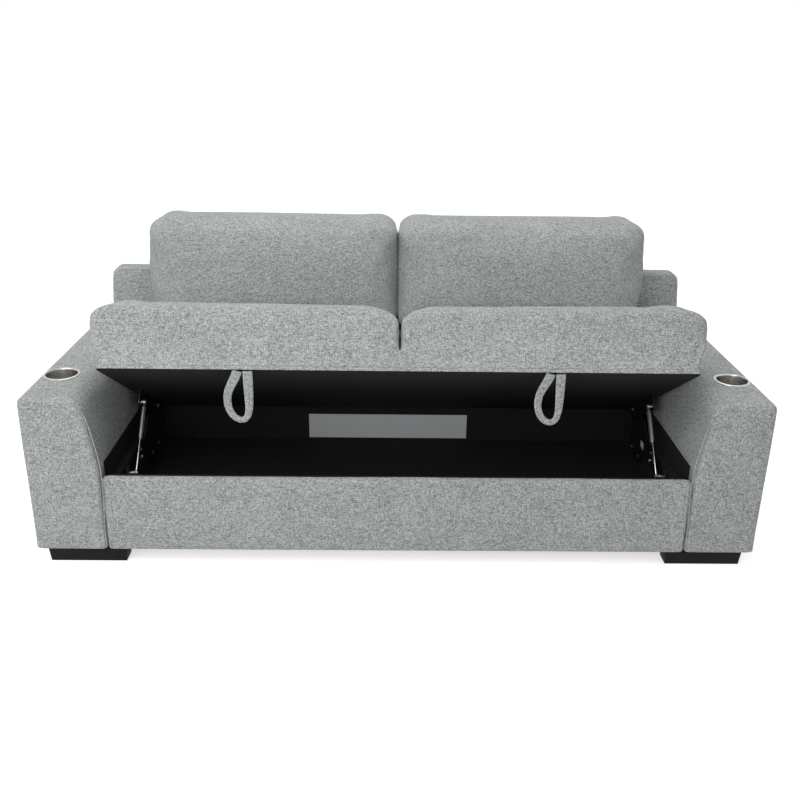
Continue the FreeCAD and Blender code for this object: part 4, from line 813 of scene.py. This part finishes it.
def armCover(name, side, plan):
    obj = armBlock("armCover" + name.title(), plan)
    fineVoxels(obj, plan["voxel"])
    middle = ((plan["inner"] + plan["outer"]) / 2, (plan["bottom"] + plan["top"]) / 2)
    swellFront(obj, plan, plan["front"], middle)
    ripple(obj, *plan["uneven"], mask=lambda c: rise(c[:, 2], plan["bottom"], plan["unevenOver"]))
    hollow = plan["padding"]
    inner = plan["inner"] + plan["lean"] + hollow
    room = box("armRoom", (inner, plan["front"] + hollow, 0),
               (plan["outer"] - hollow, plan["rear"] + 0.1, plan["top"] - hollow))
    bevelEdges(room, lambda a, b: max(a.x, b.x) < inner + near and min(a.z, b.z) > 0.5, plan["roomEase"], 1)
    cutAway(obj, room)
    cutAway(obj, cylinder("cupWay", 64, plan["cupHole"], 0.2, (*plan["cup"], plan["top"])))
    if side < 0:
        obj.data.transform(Matrix.Scale(-1, 4, (1, 0, 0)))
        editAll(obj)
        bpy.ops.mesh.flip_normals()
        leaveEditing()
    dress(obj, greyTweed, "grey_tweed", "arm_cover_" + name, angle=40)
    line = [(side * x, plan["front"] - plan["pipingOut"], z) for x, z in plan["piping"]]
    taper = [1.0] * (len(line) - len(plan["pipingEnd"])) + plan["pipingEnd"]
    piping = tube("armPiping" + name.title(), line, plan["pipingRadius"], taper)
    dress(piping, greyTweed, "grey_tweed")


def armFrame(name, plan):
    obj = copyNode("arm_frame_" + name, "armFrame" + name.title())
    tidyFlats(obj)
    inner = min(abs(point.co.x) for point in obj.data.vertices)
    top = max(point.co.z for point in obj.data.vertices)
    bevelEdges(obj, lambda a, b: max(abs(a.x), abs(b.x)) < inner + near and min(a.z, b.z) > top - near,
               plan["frameEase"], 1)
    dress(obj, plywood, "timber", "arm_frame_" + name, angle=30)


for sideName, sideSign in sides:
    armCover(sideName, sideSign, armPlan)
    armFrame(sideName, armPlan)
print("arms ready")


# Front rail and back covers

railPlan = {"low": (-0.884, -0.540, 0.047), "high": (0.884, -0.488, 0.297), "corner": 0.022, "edge": 0.013,
            "voxel": 0.0065, "swell": 0.003, "swellDeep": 0.014, "swellHalf": (0.884, 0.12),
            "swellPower": (8, 2), "uneven": (0.0022, 5.0), "unevenOver": 0.04, "inset": 0.017, "padding": 0.016,
            "lining": 0.0035, "liningFrom": -0.527, "liningEnds": 0.003, "fall": 0.016, "room": 0.281}
backPlan = {"low": (-1.100, 0.440, 0.047), "high": (1.100, 0.540, 0.677), "leanFrom": 0.544, "lean": 0.0325,
            "corner": 0.032, "edge": 0.020, "side": 0.012, "voxel": 0.008, "uneven": (0.002, 4.5),
            "unevenOver": 0.04, "padding": 0.014, "frameTop": 0.584}


def railCover(plan):
    low, high = Vector(plan["low"]), Vector(plan["high"])
    obj = box("frontRailCover", low, high)
    cutAcross(obj, (0, plan["liningFrom"], 0), (0, 1, 0))
    moveCorners(obj, lambda c: c.y > high.y - near and c.z > high.z - near, (0, 0, -plan["fall"]))
    bevelEdges(obj, lambda a, b: abs(a.y - b.y) > 0.01 and min(a.z, b.z) > high.z - plan["fall"] - near
               and min(abs(a.x), abs(b.x)) > high.x - near, plan["corner"], 6)
    bevelEdges(obj, lambda a, b: max(a.y, b.y) < low.y + near and max(a.z, b.z) > low.z + near, plan["edge"], 4)
    fineVoxels(obj, plan["voxel"])
    swellFront(obj, plan, low.y, (0, (low.z + high.z) / 2))
    ripple(obj, *plan["uneven"],
           mask=lambda c: rise(c[:, 2], low.z, plan["unevenOver"]) * (c[:, 1] < high.y - 0.01))
    inset = plan["inset"]
    cutAway(obj, box("railRoom", (low.x + inset, low.y + plan["padding"], 0),
                     (high.x - inset, high.y - plan["lining"], plan["room"])))
    cutAcross(obj, (0, plan["liningFrom"], 0), (0, 1, 0))
    dress(obj, greyTweed, "grey_tweed", "front_rail_cover", angle=40)
    obj.data.materials.append(blackLining)
    for face in obj.data.polygons:
        isLined = face.center.y > plan["liningFrom"] and abs(face.center.x) < high.x - plan["liningEnds"]
        face.material_index = 1 if isLined else 0


def backCover(plan):
    low, high = Vector(plan["low"]), Vector(plan["high"])
    top = high.z - near
    obj = box("backCover", low, high)
    cutAcross(obj, (0, 0, plan["leanFrom"]), (0, 0, 1))
    moveCorners(obj, lambda c: c.y < low.y + near and c.z > top, (0, plan["lean"], 0))
    bevelEdges(obj, lambda a, b: abs(a.y - b.y) > 0.04 and min(a.z, b.z) > top, plan["corner"], 6)
    bevelEdges(obj, lambda a, b: abs(a.x - b.x) > 0.1 and min(a.z, b.z) > top, plan["edge"], 4)
    bevelEdges(obj, lambda a, b: abs(a.z - b.z) > 0.1 and min(abs(a.x), abs(b.x)) > high.x - near,
               plan["side"], 3)
    fineVoxels(obj, plan["voxel"])
    ripple(obj, *plan["uneven"],
           mask=lambda c: rise(c[:, 2], low.z, plan["unevenOver"]) * (c[:, 1] > low.y + 0.01))
    pad = plan["padding"]
    cutAway(obj, box("backRoom", (low.x + pad, low.y + pad, 0), (high.x - pad, high.y - pad, plan["frameTop"])))
    dress(obj, greyTweed, "grey_tweed", "back_cover", angle=40)


railCover(railPlan)
backCover(backPlan)
print("rail and back ready")


# Cup holders: pressed steel with a rolled rim

cupPlan = {"place": (1.033, -0.340, 0.544), "steps": 72,
           "outline": [(0, -0.072), (0.030, -0.072), (0.040, -0.0712), (0.0448, -0.0670), (0.046, -0.060),
                       (0.046, -0.002), (0.0465, 0.0006), (0.0478, 0.0021), (0.0500, 0.0026), (0.0530, 0.0022),
                       (0.0546, 0.0012), (0.0550, 0.0002), (0.0540, 0.0001), (0.0472, 0.0001),
                       (0.0472, -0.062), (0.0455, -0.0695), (0.0405, -0.0728), (0, -0.0732)]}


def cupHolder(name, side, plan):
    x, y, z = plan["place"]
    mesh = bpy.data.meshes.new("cupHolder" + name.title())
    points = [(side * x + r, y, z + h) for r, h in plan["outline"]]
    mesh.from_pydata(points, [(k, k + 1) for k in range(len(points) - 1)], [])
    obj = linked(mesh.name, mesh)
    editAll(obj)
    bpy.ops.mesh.spin(steps=plan["steps"], angle=2 * math.pi, center=(side * x, y, z), axis=(0, 0, 1))
    bpy.ops.mesh.select_all(action="SELECT")
    bpy.ops.mesh.remove_doubles(threshold=0.00001)
    leaveEditing()
    faceOutward(obj)
    dress(obj, cupSteel, "steel_cup", "cup_holder_" + name, angle=35)


for sideName, sideSign in sides:
    cupHolder(sideName, sideSign, cupPlan)


# Feet

footPlan = {"edge": 0.004, "steps": 3}


def blockFoot(end, name, plan):
    node = "foot_%s_%s" % (end, name)
    obj = copyNode(node, "foot" + end.title() + name.title())
    tidyFlats(obj)
    modify(obj, "BEVEL", width=plan["edge"], segments=plan["steps"], limit_method="ANGLE",
           angle_limit=math.radians(40))
    dress(obj, footBlack, "black_foot", node, angle=30)


for sideName, _ in sides:
    for endName in ("front", "rear"):
        blockFoot(endName, sideName, footPlan)
print("feet and cups ready")


# Pull loops: a folded band of the same cloth, sewn to the lid's lower front edge

loopPlan = {"top": {"left": -0.4560, "right": 0.4540}, "topY": -0.491675, "topZ": 0.6165, "halfThick": 0.0026,
            "path": [(-0.0148, 0.0), (-0.0200, -0.016), (-0.0330, -0.040), (-0.0450, -0.066), (-0.0480, -0.092),
                     (-0.0440, -0.120), (-0.0300, -0.145), (-0.0080, -0.1560), (0.0085, -0.147),
                     (0.0155, -0.122), (0.0160, -0.085), (0.0155, -0.057), (0.0152, -0.028), (0.0148, 0.0)],
            "halfWidths": [0.0142, 0.0138, 0.0128, 0.0118, 0.0112, 0.0104, 0.0096, 0.0092, 0.0094, 0.0104,
                           0.0122, 0.0134, 0.0140, 0.0142],
            "turn": [6, 6, 8, 10, 14, 14, 10, 4, -4, -10, -12, -10, -8, -6],
            "around": 20, "flatness": (0.4, 0.8)}


def pullLoop(name, plan):
    x, y, z = plan["top"][name], plan["topY"], plan["topZ"]
    guide = tube("loopLine", [(x + dx, y, z + dz) for dx, dz in plan["path"]])
    points = [vertex.co.copy() for vertex in guide.data.vertices]
    bpy.data.objects.remove(guide)
    rings, faces = [], []
    count, (wideness, thickness) = plan["around"], plan["flatness"]
    angles = [2 * math.pi * (k + 0.5) / count for k in range(count)]
    outline = [(math.copysign(abs(math.cos(t)) ** wideness, math.cos(t)),
                math.copysign(abs(math.sin(t)) ** thickness, math.sin(t)) * plan["halfThick"]) for t in angles]
    outward = Vector((0, -1, 0))
    for number, point in enumerate(points):
        ahead = (points[min(number + 1, len(points) - 1)] - points[max(number - 1, 0)]).normalized()
        share = number / (len(points) - 1) * (len(plan["path"]) - 1)
        turn, half = (float(np.interp(share, range(len(plan["path"])), plan[key]))
                      for key in ("turn", "halfWidths"))
        turn = math.radians(turn)
        across = ahead.cross(outward).normalized()
        wide = across * math.cos(turn) + outward * math.sin(turn)
        thick = wide.cross(ahead).normalized()
        rings += [point + wide * u * half + thick * v for u, v in outline]
    for ring in range(len(points) - 1):
        for k in range(count):
            first, second = ring * count + k, ring * count + (k + 1) % count
            faces.append((first, second, second + count, first + count))
    faces.append(tuple(range(count)))
    faces.append(tuple(range(len(rings) - count, len(rings))))
    mesh = bpy.data.meshes.new("pullLoop" + name.title())
    mesh.from_pydata(rings, [], faces)
    obj = linked(mesh.name, mesh)
    faceOutward(obj)
    dress(obj, loopTweed, "grey_tweed", "pull_strap_" + name, body="pull_loop_" + name, angle=50)


for sideName, _ in sides:
    pullLoop(sideName, loopPlan)
print("pull loops ready")


# Cloth sheets: lid underside, linings and dust cover

sheetPlan = {"thick": 0.0012, "cell": 0.02}
undersidePlan = {"depth": 0.007, "waves": 4.0, "stretch": (1.0, 0.7, 1), "edgeFade": 0.09, "hangs": True}
liningPlan = {"waves": 5.0, "stretch": (1, 1, 1), "edgeFade": 0.05}
liningSheets = [("floorLining", "floor_lining", 2, 0.0006, "laid", "floor_board"),
                ("sideLiningLeft", "side_lining_left", 0, 0.0006, "hung", "side_board_left"),
                ("sideLiningRight", "side_lining_right", 0, 0.0006, "hung", "side_board_right"),
                ("dustCover", "dust_cover", 2, 0.003, "stretched", "cross_rails")]


def clothSheet(name, low, high, normal, depth, waves, stretch, edgeFade, hangs=False):
    # a flat cloth between two corners, thin along the given axis, with soft folds that fade at its edges
    flatWays = [k for k in range(3) if k != normal]
    nothingPicked()
    counts = [max(2, round((high[k] - low[k]) / sheetPlan["cell"])) for k in flatWays]
    bpy.ops.mesh.primitive_grid_add(x_subdivisions=counts[0], y_subdivisions=counts[1], size=1)
    obj = named(name)
    coords = coordsOf(obj)
    placed = np.zeros_like(coords)
    for k, way in enumerate(flatWays):
        placed[:, way] = low[way] + (coords[:, k] + 0.5) * (high[way] - low[way])
    placed[:, normal] = (low[normal] + high[normal]) / 2
    fade = np.ones(len(placed))
    for way in flatWays:
        toEdge = np.minimum(placed[:, way] - low[way], high[way] - placed[:, way])
        fade *= np.clip(toEdge / edgeFade, 0, 1)
    folds = np.array([noise.noise(Vector(point * stretch) * waves) for point in placed])
    if hangs:
        folds = -np.maximum(folds, 0)
    placed[:, normal] += folds * fade * depth
    setCoords(obj, placed)
    modify(obj, "SOLIDIFY", thickness=sheetPlan["thick"], offset=0)
    faceOutward(obj)
    return obj


def lidUnderside():
    low, high = shutBox("lid_cloth")
    high[2] = low[2] + sheetPlan["thick"]
    obj = clothSheet("lidUnderside", Vector(low), Vector(high), 2, **undersidePlan)
    obj.data.transform(lidOpens)
    dress(obj, slackLining, "black_lining", "lid_cloth", body="lid", angle=60)


def liningSheet(name, node, normal, depth, held, restsOn):
    low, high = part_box(node)
    obj = clothSheet(name, Vector(low), Vector(high), normal, depth, **liningPlan)
    dress(obj, slackLining, "black_lining", node, angle=60)


lidUnderside()
for row in liningSheets:
    liningSheet(*row)
print("sheets ready")


# Foam and webbing inside the lid

foam = copyNode("seat_base_foam", "seatBaseFoam")
tidyFlats(foam)
modify(foam, "BEVEL", width=0.004, segments=2, limit_method="ANGLE")
dress(foam, foamCream, "foam", "seat_base_foam", body="lid", angle=40)
dress(copyNode("seat_webbing", "seatWebbing"), webJute, "webbing", "seat_webbing", body="lid", angle=30)


# Bolts of the base plates: hexagon heads on washers

boltPlan = {"face": 0.856, "spots": [(-0.195, 0.222), (-0.195, 0.195), (0.025, 0.145), (-0.060, 0.145)],
            "head": 0.0068, "headHigh": 0.0028, "headEdge": 0.0006, "washer": 0.0080, "washerHigh": 0.0008,
            "shank": 0.0035, "plate": 0.004, "turns": (20, 60, 100, 140)}


def oneBolt(plan):
    washerHigh, headHigh = plan["washerHigh"], plan["headHigh"]
    head = cylinder("boltHead", 6, plan["head"], headHigh, (0, 0, washerHigh + headHigh / 2))
    modify(head, "BEVEL", width=plan["headEdge"], segments=2, limit_method="ANGLE")
    washer = cylinder("boltWasher", 32, plan["washer"], washerHigh, (0, 0, washerHigh / 2))
    shank = cylinder("boltShank", 24, plan["shank"], plan["plate"], (0, 0, -plan["plate"] / 2))
    return joinAll("boltFirst", [head, washer, shank])


def plateBolts(name, side, plan):
    first = oneBolt(plan)
    facing = Matrix.Rotation(math.radians(-90 * side), 4, "Y")
    parts = []
    for (y, z), angle in zip(plan["spots"], plan["turns"]):
        part = linked("bolt", first.data.copy())
        turn = Matrix.Rotation(math.radians(angle), 4, "Z")
        part.data.transform(Matrix.Translation((side * plan["face"], y, z)) @ facing @ turn)
        parts.append(part)
    bpy.data.objects.remove(first)
    obj = joinAll("plateBolts" + name.title(), parts)
    dress(obj, boltZinc, "zinc", "plate_bolts_" + name, angle=30)


for sideName, sideSign in sides:
    plateBolts(sideName, sideSign, boltPlan)


# The part's own rigid pieces keep their shape and get a finish

nodeFinishes = [  # a name that ends in _ stands for its left and right piece
    (plywood, "back_frame front_rail_board floor_board cross_rails lid_frame"),
    (blackLining, "side_board_ rear_shelf_board support_rail"),
    (slackLining, "well_back_board support_panel"),
    (blackSteel, "hinge_plate_ lid_bracket_"),
    (boltZinc, "hinge_pin_ hinge_washer_ bracket_screws_ lid_stud_ base_stud_ foot_screws"),
    (strutSilver, "strut_tube_"), (rodChrome, "strut_rod_"),
    (cardPale, "blank_card"), (labelPale, "blank_label")]

for finish, nodeNames in nodeFinishes:
    for stem in nodeNames.split():
        for nodeName in (stem + "left", stem + "right") if stem.endswith("_") else (stem,):
            mesh = frame["nodes"][nodeName].data
            mesh.materials.clear()
            mesh.materials.append(finish)
print("finishes ready")


# Studio: a white room that shows the camera its white and lights the sofa less

def seenStraight(tree):  # by the camera, also in a mirror or through glass
    rays = addNode(tree, "ShaderNodeLightPath").outputs
    return sums(tree, "MAXIMUM", rays["Is Camera Ray"],
                sums(tree, "MAXIMUM", rays["Is Glossy Ray"], rays["Is Transmission Ray"]))


def addWorld(plan):
    world = bpy.data.worlds.new("studio")
    bpy.context.scene.world = world
    tree = emptyTree(world)
    strength = sums(tree, "MULTIPLY_ADD", seenStraight(tree), 1.0 - plan["ambient"], plan["ambient"])
    sky = addNode(tree, "ShaderNodeBackground", {"Color": (1, 1, 1, 1), "Strength": strength})
    addNode(tree, "ShaderNodeOutputWorld", {"Surface": sky.outputs[0]})


def addFloor(plan):
    nothingPicked()
    bpy.ops.mesh.primitive_plane_add(size=plan["floorSize"], location=(0, 0, 0))
    floor = named("studioFloor")
    material = bpy.data.materials.new("studioFloor")
    tree = emptyTree(material)
    white = plan["floorWhite"]
    matt = addNode(tree, "ShaderNodeBsdfDiffuse", {"Color": (white, white, white, 1)})
    strength = sums(tree, "MULTIPLY", seenStraight(tree), plan["floorLift"])
    lift = addNode(tree, "ShaderNodeEmission", {"Color": (1, 1, 1, 1), "Strength": strength})
    both = addNode(tree, "ShaderNodeAddShader", {0: matt.outputs[0], 1: lift.outputs[0]})
    addNode(tree, "ShaderNodeOutputMaterial", {"Surface": both.outputs[0]})
    floor.data.materials.append(material)


def addLamps(plan):
    for name, place, aim, size, power in plan["lamps"]:
        lamp = bpy.data.lights.new(name, "AREA")
        lamp.shape = "DISK"
        lamp.size = size
        lamp.energy = power
        obj = linked(name, lamp)
        obj.location = place
        obj.rotation_euler = (Vector(aim) - Vector(place)).to_track_quat("-Z", "Y").to_euler()


addWorld(studioPlan)
addFloor(studioPlan)
addLamps(studioPlan)
print("studio ready")
